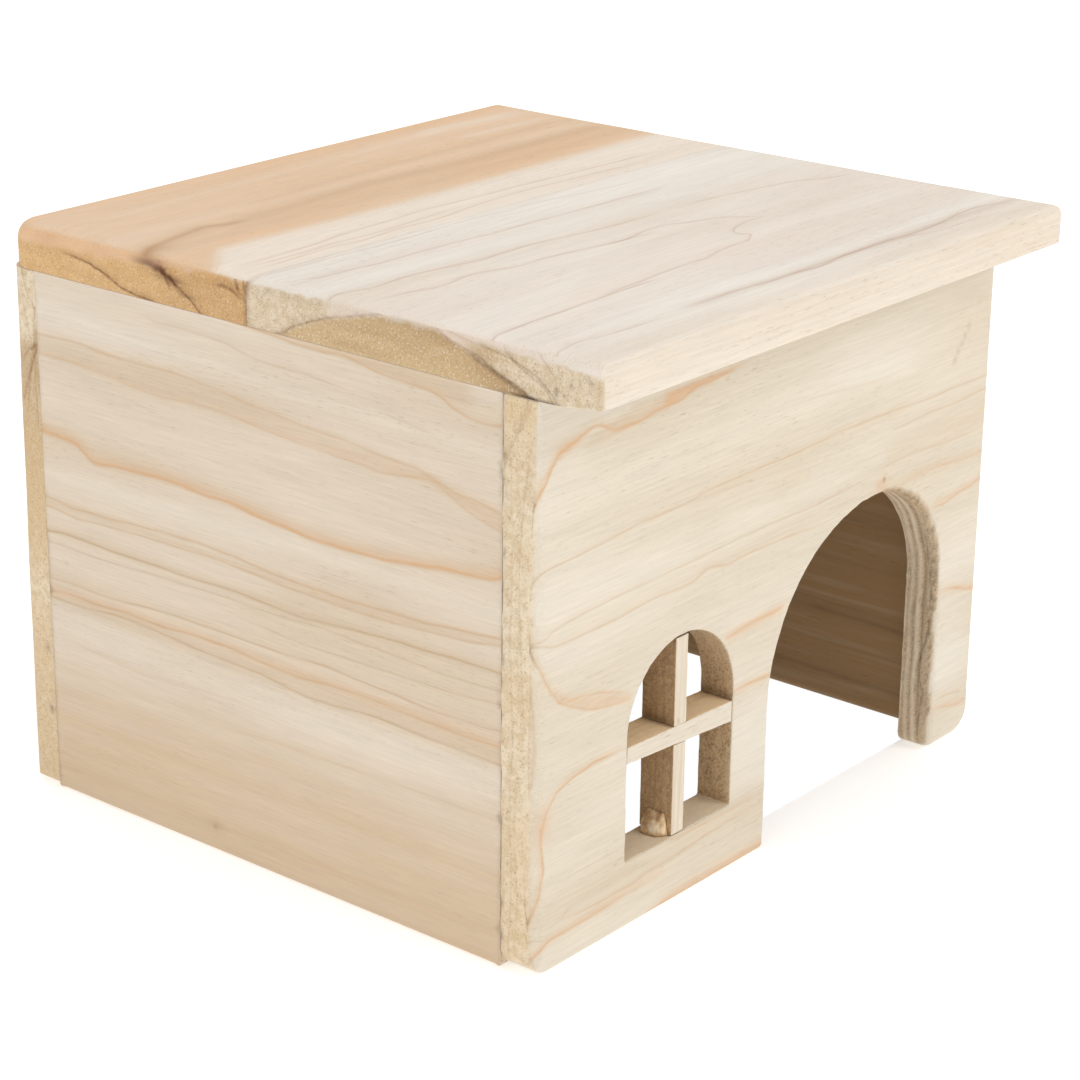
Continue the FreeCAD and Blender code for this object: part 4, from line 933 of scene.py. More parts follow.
    # doorway and window walls
    wall = 1 - np.maximum(ff, bf)
    dr = (g["loop"] == 0) & door_edge(g["p"])
    s, w = g["s"], g["w"]
    right = smooth(g["p"][:, 0], 28, 36)
    soft = smooth(-N[:, 1] + 0.06 * wander2(s, w * 3, 84, 1.3, 0.9), 0.985, 0.76)
    dc = dr * np.maximum(wall, soft * right)
    a["cut"] += dc * (0.62 + 0.12 * wander2(s, w * 4, 34, 6, 3))
    ww = w + 0.9 * wander(s, 21, 26) + 0.35 * wander(s, 22, 7)
    a["tan"] += dc * 0.30
    a["pale"] += dc * right * (0.75 * bump1(ww, 4.5, 0.5) + 0.65 * bump1(ww, 6.4, 0.45) + 0.5 * smooth(w, 7.2, 7.9) + 0.25 * bump1(ww, 2.6, 0.4))
    a["brown"] += dc * right * 0.5 * bump1(ww, 3.3, 0.5)
    crack = np.interp(z, [2, 13, 18.5, 22, 26, 33, 41, 53], [3.4, 2.2, 3.9, 3.1, 1.9, 1.2, 2.1, 2.8])
    a["dark"] += dc * right * (0.30 * bump1(ww, 3.3, 0.22) * (0.6 + 0.4 * wander(s, 35, 6)) + 0.20 * bump1(ww, 5.4, 0.2)
                               + 0.50 * bump1(w, crack, 0.20) * smooth(z, 3, 8) * smooth(z, 56, 44))
    pits = np.clip(wander2(s * 2.6, w * 3.4, 85, 2.0, 1.9) - 0.30, 0, 1) * smooth(w, 3.4, 1.2) + 0.6 * np.clip(wander2(s * 2.4, w * 3.0, 86, 2.0, 1.6) - 0.42, 0, 1)
    a["dark"] += dc * right * 0.75 * pits * smooth(z, 4, 12)
    a["brown"] += dc * right * 0.18 * smooth(w, 3.2, 1.6) * smooth(z, 30, 48)
    hl = (g["loop"] == 1)
    hc = hl * wall
    jamb = np.abs(N[:, 0])
    a["cut"] += hc * (0.80 + 0.15 * jamb + 0.05 * wander2(s, w * 3, 36, 4, 2))
    a["tan"] += hc * (0.75 + 0.2 * wander2(s * 0.3, w * 2, 38, 3, 1.0))
    a["pale"] += hc * (0.05 + 0.22 * smooth(w, 1.4, 0.4) + 0.18 * np.clip(wander2(s * 0.25, w * 3, 39, 3, 1.6), 0, 1))
    # painted light: the upward faces of the window walls (the sill) are made pale
    a["pale"] += hc * smooth(N[:, 2], 0.35, 0.8) * (1.0 + 0.16 * wander2(s * 3, w * 3, 102, 2.4, 2.4))
    a["rough"] += np.maximum(hc, dc)
    a["dark"] += hc * 0.45 * jamb * np.clip(wander2(s * 2.2, w * 2.2, 40, 1.6, 1.2) - 0.25, 0, 1) * smooth(z, 44, 30)
    # painted shade where the slats meet the frame
    for vx, vz, rr in ((WX + WR, 36.6, 1.0), (WX - WR, 36.6, 1.0), (-33.9, 54.0, 1.2), (-29.6, 54.0, 1.2)):
        a["dark"] += hc * 0.35 * np.exp(-((x - vx) / 1.5) ** 2 - ((z - vz) / rr) ** 2)


FRONT_END_LINES = [
    (0.26, 0.5, 0.2, [(-58.6, 110), (-57.2, 106), (-56.0, 103.6), (-55.2, 101.8), (-54.2, 99.6), (-53.2, 97)]),
    (0.2, 0.45, 0.2, [(-58.4, 107.5), (-57.5, 105.4), (-56.6, 104.4), (-55.6, 104.2), (-55.4, 105.4), (-56.2, 106.6), (-57.2, 107)]),
    (0.2, 0.4, 0.2, [(-58.8, 98), (-57.6, 88), (-57.0, 78), (-57.4, 66), (-58.0, 54)]),
    (0.22, 0.36, 0.3, [(-55.0, 96), (-55.4, 80), (-55.0, 64), (-55.8, 48), (-55.2, 34), (-55.6, 18), (-55.0, 4)]),
    (0.2, 0.3, 0.3, [(-56.8, 44), (-56.2, 30), (-57.0, 16), (-56.6, 4)]),
]
BACK_OF_FRONT = random_lines(41, (-75, 75, 0, 112), 0, 6.5, 0.4, 0.6)
OUT_RIGHT = random_lines(42, (-53, 67, 0, 112), 0, 6.0, 0.45, 0.7)
OUT_BACK = random_lines(43, (-75, 75, 0, 112), 0, 5.5, 0.45, 0.7)
IN_LEFT = random_lines(44, (-53, 67, 0, 112), 0, 8.0, 0.3, 0.5)
UNDER_ROOF = random_lines(45, (-75, 75, -75, 75), 0, 7.0, 0.35, 0.5)
IN_RIGHT = [
    (0.5, 0.35, 0.3, [(67, 22.5), (30, 22), (-5, 22), (-30, 21.5), (-53, 21)]),
    (0.4, 0.25, 0.3, [(67, 24.6), (30, 24), (-10, 23.8), (-53, 23.2)]),
    (0.5, 0.35, 0.3, [(67, 7.5), (30, 7.2), (-20, 7), (-53, 6.4)]),
    (0.3, 0.22, 0.3, [(67, 47), (20, 46), (-20, 44.5), (-53, 43.5)]),
    (0.3, 0.2, 0.3, [(67, 15), (20, 14.6), (-20, 14.2), (-53, 14)]),
    (0.3, 0.2, 0.3, [(67, 33), (20, 33.4), (-20, 34), (-53, 34)]),
    (0.3, 0.25, 0.3, [(67, 62), (0, 61), (-53, 60)]), (0.3, 0.25, 0.3, [(67, 80), (0, 79), (-53, 79)]),
    (0.3, 0.25, 0.3, [(67, 97), (0, 98), (-53, 98)]),
]

wall_x = wood("wall_wood_front", "X", WALL, (13.0, 5.0, 41.0))
wall_back = wood("wall_wood_back", "X", WALL, (213.0, 95.0, 141.0))
wall_y = wood("wall_wood_left", "Y", WALL_L, (57.0, 31.0, 9.0))
wall_y2 = wood("wall_wood_right", "Y", WALL_IN, (157.0, 77.0, 59.0))

front = board("front_panel_board", fg, front_to3, front_paint, wall_x, ["front_panel"], push=front_push)


# ---------------------------------------------------------------- left and right panels

side_outer = path([("P", -53, 0, 0.5), ("P", 67, 0, 0.5), ("P", 67, 110.8, 0.12), ("P", -53, 110.8, 0.12)], 1.0)


def side_rf(p):
    y, z = p[:, 0], p[:, 1]
    r = np.full(len(p), 0.06) + 0.03 * wander(y + z, 51, 2.6)
    r = np.where(z > 110.6, 0.04, r)
    return np.where(z < 0.2, 0.9, r)


def side_rb(p):
    return np.full(len(p), 0.4)


def left_push(g):
    q = g["p"]
    flat = g["inn"][:, 2] > 0.99
    d = np.where(flat, 0.08 + 0.08 * wander2(q[:, 0], q[:, 1], 52, 40, 17), 0.0)
    return d


def left_paint(a, g, P, N):
    x, y, z = P.T
    ff = smooth(-N[:, 0], 0.34, 0.66)
    bf = smooth(N[:, 0], 0.34, 0.66)
    use(a, bf, lay_lines(np.stack([y, z], 1), IN_LEFT, (-53, 67, 0, 112)))
    use(a, ff, lay_lines(np.stack([y, z], 1), heavier(LEFT_LINES, 1.05, 1.18), (-53, 67, 0, 112)))
    U, V = y, z
    t = np.zeros(len(x))
    o = np.zeros(len(x))
    pl = np.zeros(len(x))
    br = np.zeros(len(x))
    t += between(U, V, [(-44, 106.6), (-34, 108), (-10, 109.6), (8, 110.6)], [(-44, 113), (8, 113)], 0.4, 0.50)
    t += between(U, V, [(-54, 85.4), (-36, 90.6), (0, 91.3), (32, 92.4), (68, 94.2)],
                 [(-54, 88.7), (-30, 92.7), (2, 95.3), (28, 97.7), (68, 98.2)], 0.8, 0.34)
    o += between(U, V, [(-54, 85.4), (-36, 90.6), (0, 91.3)], [(-54, 87.0), (-36, 91.6), (0, 92.6)], 0.6, 0.20)
    L5 = [(-54, 77), (-45, 75.4), (-32, 74.2), (-18, 73.2), (-5, 73.2), (14, 75), (35, 75.7), (52, 74.9), (57, 77.2), (68, 78.3)]
    o += band(U, V, L5, 2.0, 0.5, 0.24)
    t += band(U, V, L5, 2.6, 0.7, 0.34)
    t += between(U, V, [(-54, 63.8), (-27, 61.6), (0, 61.7), (29, 62.5), (67, 62.3)],
                 [(-54, 65.3), (-22, 63.0), (0, 63.3), (40, 64.3), (68, 64.3)], 0.6, 0.28)
    t += band(U, V, [(-53, 58.3), (0, 56.9), (67, 57)], 1.4, 0.6, 0.20)
    o += band(U, V, [(-53, 44.5), (0, 44.6), (30, 45), (67, 43.8)], 1.6, 0.6, 0.26)
    t += band(U, V, [(-53, 43.0), (0, 43.2), (67, 43.4)], 2.4, 2.2, 0.26)
    t += band(U, V, [(-53, 48.5), (0, 49), (67, 48.0)], 1.6, 1.2, 0.14)
    t += 0.10 * smooth(V, 84, 60)
    pl += between(U, V, [(-54, 33.5), (0, 33.2), (68, 34.5)], [(-54, 40), (0, 39.8), (68, 41.6)], 1.4, 0.34)
    t += 0.34 * smooth(V, 33, 18) + 0.14 * smooth(V, 14, 2)
    for k, (vz, wd, am) in enumerate(((28.5, 1.6, .16), (23.0, 2.2, .14), (17.0, 2.0, .18), (11.5, 1.6, .14), (6.0, 1.8, .16))):
        t += band(U, V, [(-54, vz + 0.8), (0, vz), (68, vz - 0.6)], wd, wd * 0.7, am)
    o += 0.16 * smooth(V, 26, 6) * (0.6 + 0.4 * wander2(U, V, 53, 40, 3))
    br += blob(U, V, 20.8, 5.6, 2.6, 1.4, 0.22) + blob(U, V, 20.8, 5.4, 0.5, 0.45, 0.7)
    br += blob(U, V, 61.8, 50.8, 0.5, 0.35, 0.45)
    pl += band(U, V, [(-54, 99), (0, 100.5), (68, 103)], 2.5, 2.0, 0.35) + band(U, V, [(-54, 70), (68, 69.5)], 2.2, 2.2, 0.3)
    for arr, key in ((t, "tan"), (o, "orange"), (pl, "pale"), (br, "brown")):
        a[key] += arr * ff
    a["tan"] += 0.4 * bf
    edge = 1 - np.maximum(ff, bf)
    a["eg"] += edge * (np.abs(N[:, 1]) > 0.6)
    sm = smooth(-y, 52.0, 52.8) * np.clip(wander(z, 54, 3.0), 0, 1) + smooth(y, 66.0, 66.8) * np.clip(wander(z, 55, 3.4), 0, 1)
    a["brown"] += 0.25 * ff * sm
    for vy, vz, rz in ((-52.8, 96.6, 1.3), (-52.8, 30.2, 1.1), (-52.7, 8.2, 1.0), (66.8, 44.0, 0.8), (-52.7, 52.5, 0.7)):
        a["dark"] += 0.5 * ff * blob(y, z, vy, vz, 0.35, rz, 1)


lg = slab([side_outer], 8.0, side_rf, side_rb, 1.0, 4.0, 7)
board("left_side_board", lg, lambda q, w: np.stack([-75.0 + w, q[:, 0], q[:, 1]], 1), left_paint, wall_y,
      ["left_side_panel"], push=left_push)


def right_rf(p):  # inner face
    return np.where(p[:, 1] < 0.2, 2.6, 0.4)


def right_rb(p):  # outer face
    y, z = p[:, 0], p[:, 1]
    return np.where(z < 0.2, 0.9, 0.34 + 0.10 * wander(y + z, 56, 2.6))


def right_paint(a, g, P, N):
    x, y, z = P.T
    inn = smooth(-N[:, 0], 0.34, 0.66)
    out = smooth(N[:, 0], 0.34, 0.66)
    use(a, inn, lay_lines(np.stack([y, z], 1), IN_RIGHT, (-53, 67, 0, 112)))
    use(a, out, lay_lines(np.stack([y, z], 1), OUT_RIGHT, (-53, 67, 0, 112)))
    U, V = y, z
    t = 0.15 + band(U, V, [(-54, 21.6), (68, 23)], 2.2, 1.4, 0.0) 
    a["dark"] += inn * (band(U, V, [(-54, 20.6), (68, 21.6)], 3.0, 0.8, 0.10) + band(U, V, [(-54, 6.2), (68, 7.0)], 2.2, 1.2, 0.08) + band(U, V, [(-54, 43.5), (68, 46.5)], 3.0, 3.0, 0.03))
    a["tan"] += t * inn
    # the whole inner face is made brown: partly the rough inner face, partly painted shade of the inside
    a["brown"] += 1.0 * inn
    a["tan"] += out * (0.30 + 0.2 * wander2(U, V, 57, 60, 9) + 0.25 * smooth(V, 30, 5))
    a["orange"] += out * 0.2 * np.clip(wander2(U, V, 58, 70, 5), 0, 1)
    edge = 1 - np.maximum(inn, out)
    a["eg"] += edge * (np.abs(N[:, 1]) > 0.6)
    a["dark"] += 0.55 * edge * smooth(np.abs(y - 7), 59.4, 59.9)


rg = slab([side_outer], 8.0, right_rf, right_rb, 1.3, 1.2, 7)
board("right_side_board", rg, lambda q, w: np.stack([67.0 + w, q[:, 0], q[:, 1]], 1), right_paint, wall_y2,
      ["right_side_panel"])


# ---------------------------------------------------------------- back panel

back_outer = path([("P", -75, 0, 2.2), ("P", 75, 0, 2.2), ("P", 75, 110.8, 0.6), ("P", -75, 110.8, 0.2)], 1.1)


def back_rf(p):
    x, z = p[:, 0], p[:, 1]
    r = np.full(len(p), 0.8)
    side = smooth(x, 74.0, 75.0)
    r = np.where((z > 110.6) | (x < -74), 0.06, r)
    return r * (1 - side) + side * (2.9 + 0.3 * wander(z, 61, 20))


def back_rb(p):
    r = np.full(len(p), 0.4) + 0.1 * wander(p[:, 0] + p[:, 1], 62, 2.4)
    return np.where(p[:, 0] < -74, 0.05 + 0.03 * wander(p[:, 1], 62, 2.4), r)


def back_paint(a, g, P, N):
    x, y, z = P.T
    out = smooth(N[:, 1], 0.34, 0.66)
    inn = smooth(-N[:, 1], 0.34, 0.66)
    le = smooth(-N[:, 0], 0.30, 0.60) * (x < -68)
    re = smooth(N[:, 0], 0.60, 0.85) * (x > 68)
    use(a, inn, lay_lines(np.stack([x, z], 1), BACK_OF_FRONT, (-75, 75, 0, 112)))
    use(a, out * (1 - le), lay_lines(np.stack([x, z], 1), OUT_BACK, (-75, 75, 0, 112)))
    use(a, le, lay_lines(np.stack([y, z], 1), heavier(BACK_END_LINES, 1.0, 0.7), (67, 75, 0, 112)))
    U, V = x, z
    a["tan"] += out * (1 - le) * (0.28 + 0.22 * wander2(U, V, 63, 60, 8))
    a["orange"] += out * (1 - le) * 0.2 * np.clip(wander2(U, V, 64, 70, 5), 0, 1)
    a["tan"] += 0.4 * inn
    a["eg"] += np.maximum(le, re)
    a["pale"] += le * 0.0
    a["tan"] += le * np.interp(z, [0, 34, 44, 56, 76, 84, 92, 97, 112], [0.55, 0.5, 0.15, 0.75, 0.85, 0.5, 0.35, 0.0, 0.0])
    a["brown"] += le * np.interp(z, [0, 34, 44, 56, 70, 84, 92, 95, 98, 112], [0.22, 0.12, 0.05, 0.18, 0.30, 0.42, 0.62, 0.5, 0.04, 0.05])
    a["dark"] += le * (0.75 * blob(y, z, 68.6, 31.1, 0.7, 0.5, 1) + 0.75 * blob(y, z, 68.4, 17.1, 0.7, 0.6, 1))
    a["dark"] += 0.16 * le * smooth(-y, -67.7, -67.1) * np.clip(wander(z, 65, 3), 0, 1)


def back_after(P):
    """Rounds the upright corner at the back left."""
    x, y, z = P.T.copy()
    R = np.interp(z, [0, 45, 80, 112], [2.6, 3.0, 4.0, 4.6]) + 0.12 * wander(z, 61, 16)
    qa, qb = R - (x + 75.0), R - (75.0 - y)
    m = (qa > 0) & (qb > 0)
    L = np.hypot(qa, qb)
    f = np.where(m & (L > R), R / np.maximum(L, 1e-9), 1.0)
    x = np.where(m, -75.0 + R - qa * f, x)
    y = np.where(m, 75.0 - (R - qb * f), y)
    return np.stack([x, y, z], 1)


bg = slab([back_outer], 8.0, back_rf, back_rb, 0.95, 4.0, 14, K=3)
board("back_panel_board", bg, lambda q, w: np.stack([q[:, 0], 75.0 - w, q[:, 1]], 1), back_paint, wall_back,
      ["back_panel"], after=back_after)


# ---------------------------------------------------------------- roof

RC = 3.9
REAR_RC = 6.0
UNDER, THICK = 110.8, 9.2


def roof_plan(x, y):
    """Inset from the roof's rounded plan outline, and the way inward."""
    rc = np.where(y < 0, 0.9, np.where(x < 0, REAR_RC, RC))
    h = 75.0 - rc
    qx, qy = np.abs(x) - h, np.abs(y) - h
    both = (qx > 0) & (qy > 0)
    ln = np.hypot(np.maximum(qx, 0), np.maximum(qy, 0))
    dist = ln + np.minimum(np.maximum(qx, qy), 0) - rc
    ln = np.maximum(ln, 1e-9)
    nx = np.where(both, np.maximum(qx, 0) / ln, np.where(qx > qy, 1.0, 0.0))
    ny = np.where(both, np.maximum(qy, 0) / ln, np.where(qx > qy, 0.0, 1.0))
    return -dist, -np.sign(x) * nx, -np.sign(y) * ny


def roof_after(P):
    x, y, z = P.T.copy()
    inset, ix, iy = roof_plan(x, y)
    inset = np.maximum(inset, 0)
    end_l = np.interp(y, [-75, -60, -30, 8, 60, 75], [2.2, 2.3, 2.6, 3.0, 3.7, 3.9])
    end_r = np.interp(y, [-75, -40, 75], [2.3, 3.2, 3.8])
    long_f = np.interp(x, [-75, -50, 20, 75], [1.7, 2.6, 2.9, 2.5])
    long_b = np.interp(x, [-75, 75], [3.6, 2.6])
    rx = np.where(x < 0, end_l, end_r)
    ry = np.where(y < 0, long_f, long_b)
    rt = rx * ix ** 2 + ry * iy ** 2
    rb = np.where(x < 0, 0.06, 0.6) * ix ** 2 + np.where(y < 0, 0.45, 0.6) * iy ** 2 + 0.02 * wander(x - y, 71, 9)
    for r, depth, sign in ((rt, 120.0 - z, 1.0), (rb, z - UNDER, -1.0)):
        m = (inset < r) & (depth < r)
        qa, qb = r - inset, r - depth
        L = np.hypot(qa, qb)
        f = np.where((L > r) & m, r / np.maximum(L, 1e-9), 1.0)
        na = r - qa * f
        nb = r - qb * f
        mv = np.where(m, na - inset, 0.0)
        x = x + ix * mv
        y = y + iy * mv
        z = np.where(m, 120.0 - nb if sign > 0 else UNDER + nb, z)
        inset = np.where(m, na, inset)
    # the front board cups up a little where it overhangs
    z = 120.0 - (120.0 - z) * (1.0 - 1.1 / THICK * smooth(-y, 62.0, 75.5))
    # the top is not quite flat either
    top = smooth(z, 118.5, 119.9)
    z = z - top * (0.05 + 0.05 * wander2(x, y, 72, 45, 18))
    return np.stack([x, y, z], 1)


def roof_small(p):
    return np.full(len(p), 0.16)


def roof_to3(q, w):
    return np.stack([q[:, 0], q[:, 1], 120.0 - w], 1)


def roof_zones(a, P, N):
    x, y, z = P.T
    top = smooth(N[:, 2], 0.50, 0.80)
    und = smooth(-N[:, 2], 0.5, 0.8)
    le = smooth(-N[:, 0], 0.50, 0.82)
    re = smooth(N[:, 0], 0.60, 0.85)
    use(a, und, lay_lines(np.stack([x, y], 1), UNDER_ROOF, (-75, 75, -75, 75)))
    use(a, le, lay_lines(np.stack([y, z], 1), heavier(ROOF_END_LINES, 0.95, 1.1), (-75, 75, 110, 121.5)), np.where(y < 8.5, 0.55, 0.85))
    fe = smooth(-N[:, 1], 0.55, 0.8) * (y < -70)
    fl = lay_lines(np.stack([x, z], 1), ROOF_EDGE_LINES, (-75, 75, 112, 120))
    use(a, fe, fl)
    use(a, np.maximum(top - le, 0) * (fe < 0.3), lay_lines(np.stack([x, y], 1), ROOF_LINES, (-75, 75, -75, 75)))
    return x, y, z, top, und, le, re, fe


ROOF_EDGE_LINES = [
    (0.4, 0.12, 0.4, [(-72, 117.6), (-40, 117.2), (0, 117.5), (40, 117.2), (75, 117.0)]),
    (0.4, 0.10, 0.3, [(-60, 115.9), (-20, 115.6), (30, 115.9), (75, 115.5)]),
    (0.4, 0.10, 0.3, [(-75, 114.4), (-30, 114.1), (20, 114.3), (70, 113.9)]),
]


def rear_paint(a, g, P, N):
    x, y, z, top, und, le, re, fe = roof_zones(a, P, N)
    U, V = x, y
    wv = 1.2 * wander(U, 73, 30)
    V2 = V + wv + 9.0 * smooth(-U, 62, 75.5) * smooth(V, 33, 27) * smooth(V, 9, 14)
    tan = 0.30 * smooth(V2, 24, 31) + 0.0
    tan += 0.22 * bump1(V2, 39, 5.0) + 0.16 * bump1(V2, 52, 3.0) - 0.16 * bump1(V2, 58, 4.0) - 0.12 * bump1(V2, 46, 2.5)
    org = 0.46 * smooth(V2, 25.5, 30) * (1 - 0.75 * smooth(V2, 33, 42)) * (0.75 + 0.25 * wander(U, 74, 25))
    org += 0.20 * smooth(V2, 44, 58) * (0.6 + 0.4 * wander2(U, V, 75, 50, 6))
    org += 0.35 * smooth(V2, 62, 73)
    br = band(U, V, [(-75, 36.5), (-66, 38.5), (-54, 40.5), (-49, 38.5), (-30, 40), (-6, 42), (24, 40), (66, 41)], 2.4, 2.6, 0.30)
    br += band(U, V, [(-74, 36.3), (-62, 39.5), (-54, 41), (-48, 39)], 0.9, 0.9, 0.35, 5)
    br += band(U, V, [(-30, 48), (10, 50), (60, 51)], 1.0, 1.6, 0.14)
    pl = 0.80 * smooth(V2, 29, 23.5) - 0.12 * bump1(V, 13, 2)
    pl += band(U, V, [(44, 65.5), (60, 64)], 2.0, 2.0, 0.35, 14) + band(U, V, [(-60, 60), (-10, 62), (40, 64)], 2.2, 1.6, 0.16)
    pl += band(U, V, [(46, 56), (60, 55.5)], 1.4, 1.4, 0.3, 12)
    a["tan"] += np.clip(tan, 0, 1) * top
    a["orange"] += np.clip(org, 0, 1) * top
    a["brown"] += br * top
    a["pale"] += np.clip(pl, 0, 1) * top
    # left end: sandy end grain, orange under the top arris, with a knot
    zb = np.interp(y, [8, 22, 40, 75], [119.2, 118.8, 117.3, 116.4]) + 0.45 * wander(y, 76, 3.0)
    a["eg"] += le * smooth(zb - z, -0.5, 0.8) + re * smooth(118.6 - z, -0.4, 0.8)
    up = smooth(z, 114.8, 118.8)
    a["tan"] += le * (0.35 + 0.45 * up)
    a["orange"] += le * 0.95 * smooth(z, 115.6, 117.6) * smooth(y, 20, 38)
    a["brown"] += le * (0.26 * smooth(y, 40, 20) * smooth(z, 119.5, 117) + 0.08 + 0.16 * np.clip(wander2(y, z, 88, 7.0, 2.4), -0.5, 1))
    kn = band(y, z, [(34.6, 118.0), (32.6, 117.6), (30.8, 117.0), (28.9, 115.9)], 0.75, 0.35, 1.0)
    kn = np.maximum(kn, band(y, z, [(28.9, 115.9), (27.3, 115.0), (25.4, 113.7)], 0.35, 0.5, 0.7))
    kn = np.maximum(kn, blob(y, z, 31.8, 117.5, 1.3, 0.7, 1.0))
    a["dark"] += le * np.clip(0.66 * kn, 0, 0.60)
    a["brown"] += np.maximum(le, top) * (0.34 * blob(y, z, 33.5, 118.8, 3.0, 1.4, 1) + 0.30 * blob(y, x, 35.5, -71.5, 2.2, 4.0, 1))
    seam = smooth(9.2 - y, 0.0, 0.5)
    a["dark"] += le * 0.30 * seam
    a["dark"] += 0.09 * top * seam * (0.6 + 0.4 * wander(x, 77, 6))


def fore_paint(a, g, P, N):
    x, y, z, top, und, le, re, fe = roof_zones(a, P, N)
    U, V = x, y
    tan = 0.12 * bump1(V, -20, 7) + band(U, V, [(-76, -12.5), (-45, -14.0), (-10, -16), (30, -18)], 1.6, 3.0, 0.16)
    tan += between(U, V, [(-46, -48), (-20, -46.2), (8, -44.2), (25, -36)], [(-46, -44), (-15, -26), (12, -27), (25, -35)], 2.0, 0.12)
    org = 0.08 * bump1(V, -44, 8) + 0.06
    tan += 0.30 * smooth(-V, 66, 72) * (0.8 + 0.2 * wander(U, 78, 30))
    br = band(U, V, [(-34, -63.7), (0, -65), (40, -64.8), (70, -65.4)], 1.4, 1.2, 0.24)
    br += band(U, V, [(-20, -36), (20, -34), (60, -36)], 4, 4, 0.05)
    pl = band(U, V, [(-74, 4), (0, 3), (75, 0)], 4.0, 3.5, 0.35) + band(U, V, [(-60, -60), (0, -60.5), (70, -60.6)], 1.4, 1.4, 0.3)
    pl += band(U, V, [(-74, -8), (75, -12)], 2.6, 2.0, 0.22)
    a["tan"] += np.clip(tan, 0, 1) * top
    a["orange"] += np.clip(org, 0, 1) * top
    a["brown"] += br * top
    a["pale"] += pl * top
    a["tan"] += fe * (0.40 + 0.08 * wander2(x, z, 82, 40, 2.0))
    a["brown"] += fe * 0.05
    # left end: pale by the joint, olive-tan heartwood under the dark arc
    arc_z = np.interp(y, [-75, -61.2, -56.4, -50.2, -44, -37.1, -29.4, -20.3, -12.9, -3.4, 0, 10],
                      [109, 110.6, 112.5, 114.9, 117.1, 119.2, 119.9, 118.3, 116.5, 113, 111, 109])
    heart = smooth(arc_z - z, -0.15, 0.5)
    zb = np.interp(y, [-75, -60, -40, -5, 8], [118.0, 118.2, 118.8, 119.2, 119.1])
    edge = smooth(zb + 0.35 * wander(y, 79, 2.2) - z, -0.3, 0.5)
    calm = smooth(-y, 9, 17) * (1 - smooth(-y, 42, 49)) * (1 - heart)
    a["tan"] += le * (1 - heart) * blob(y, z, -48.5, 117.2, 4.5, 1.7, 0.45)
    a["brown"] += le * (1 - heart) * blob(y, z, -48.5, 116.8, 4.5, 1.5, 0.30)
    a["eg"] += np.maximum(le * edge * (1 - 0.9 * calm), re)
    a["orange"] += le * 0.35 * calm
    a["tan"] += le * 0.25 * calm * smooth(-y, 30, 48)
    a["tan"] += le * (0.10 + 0.62 * heart)
    a["brown"] += le * heart * (0.18 + 0.26 * smooth(-y, 44, 54) + 0.22 * np.clip(wander2(y, z, 89, 8.0, 1.7), -0.6, 1) + 0.22 * bump1(z, arc_z - 1.4, 1.5) * smooth(-y, 14, 26))
    a["pale"] += le * heart * 0.30 * smooth(-y, 30, 8)
    a["orange"] += le * heart * 0.30 * smooth(z, 114.0, 111.6) * smooth(-y, 16, 34)
    a["pale"] += le * (1 - heart) * 0.25 * smooth(-y, -9, 3) * smooth(-y, 12, -2)
    a["orange"] += le * (1 - heart) * 0.30 * smooth(z, 116.5, 119) * smooth(-y, 30, 50)
    tip = le * smooth(-y, 60, 66)
    a["pale"] += 0.30 * tip
    for vy, vz, ry, rz in ((-64.7, 113.3, .22, .9), (-68.0, 115.1, .25, .6), (-71.2, 116.8, .35, .3), (-72.3, 116.3, .3, .35),
                           (-66.3, 113.2, .35, .35), (-63.3, 114.6, .2, .5), (-70.0, 115.5, .22, .22), (-73.0, 113.9, .2, .2)):
        a["dark"] += le * 0.50 * np.exp(-((y - vy) / ry) ** 2 - ((z - vz) / rz) ** 2)
    # thin dark gap under the end of the arc, and crumbs of end grain by the joint
    a["dark"] += le * 0.75 * band(y, z, [(-54.2, 111.2), (-56.0, 111.0), (-58.0, 110.95), (-62.0, 111.0)], 0.22, 0.22, 1.0)
    a["dark"] += le * 0.30 * smooth(y, -6, 6) * smooth(z, 111.7, 110.9) * np.clip(wander(y, 87, 0.8), 0, 1)
    # a dark split just below the arc
    sp = np.exp(-((z - (arc_z - 0.45)) / 0.42) ** 2) * smooth(-y, 43.5, 47) * (1 - smooth(-y, 58, 62))
    a["dark"] += le * 0.52 * sp
    sp2 = np.exp(-((z - 113.0 - 0.25 * wander(y, 80, 1.2)) / 0.3) ** 2) * smooth(-y, 50, 54) * (1 - smooth(-y, 62, 64)) * 0
    a["dark"] += le * sp2
    seam = smooth(y, 7.6, 8.2)
    a["dark"] += le * 0.22 * seam
    a["dark"] += 0.07 * top * seam * (0.6 + 0.4 * wander(x, 81, 6))


roof_rear = wood("roof_wood_rear", "X", ROOF_R, (33.0, 15.0, 81.0))
roof_fore = wood("roof_wood_front", "X", ROOF_F, (303.0, 65.0, 21.0))

rear_outer = path([("P", -75, 8.5, 0.25), ("P", 75, 8.5, 0.25), ("P", 75, 75, RC), ("P", -75, 75, REAR_RC)], 0.85)
rgm = slab([rear_outer], THICK, roof_small, roof_small, 0.85, 3.0, 14, K=2)
board("roof_rear_plank", rgm, roof_to3, rear_paint, roof_rear, ["roof_rear_board"], after=roof_after)

fore_outer = path([("P", -75, -75, 0.9), ("P", 75, -75, 0.9), ("P", 75, 8.5, 0.25), ("P", -75, 8.5, 0.25)], 0.85)
fgm = slab([fore_outer], THICK, roof_small, roof_small, 0.85, 3.0, 14, K=2)
board("roof_front_plank", fgm, roof_to3, fore_paint, roof_fore, ["roof_front_board"], after=roof_after)


# ---------------------------------------------------------------- window slats

# the slats' pale sawn colour, brighter than white, is painted light for the cross slat's upward faces
SLAT = dict(WALL, k=0.81, cutp=(266, 234, 184), base=(240, 228, 208), base2=(233, 217, 194), cutc=(200, 160, 106), cutd=(174, 134, 84), pitd=(132, 94, 58),
            cutl=(222, 186, 134))


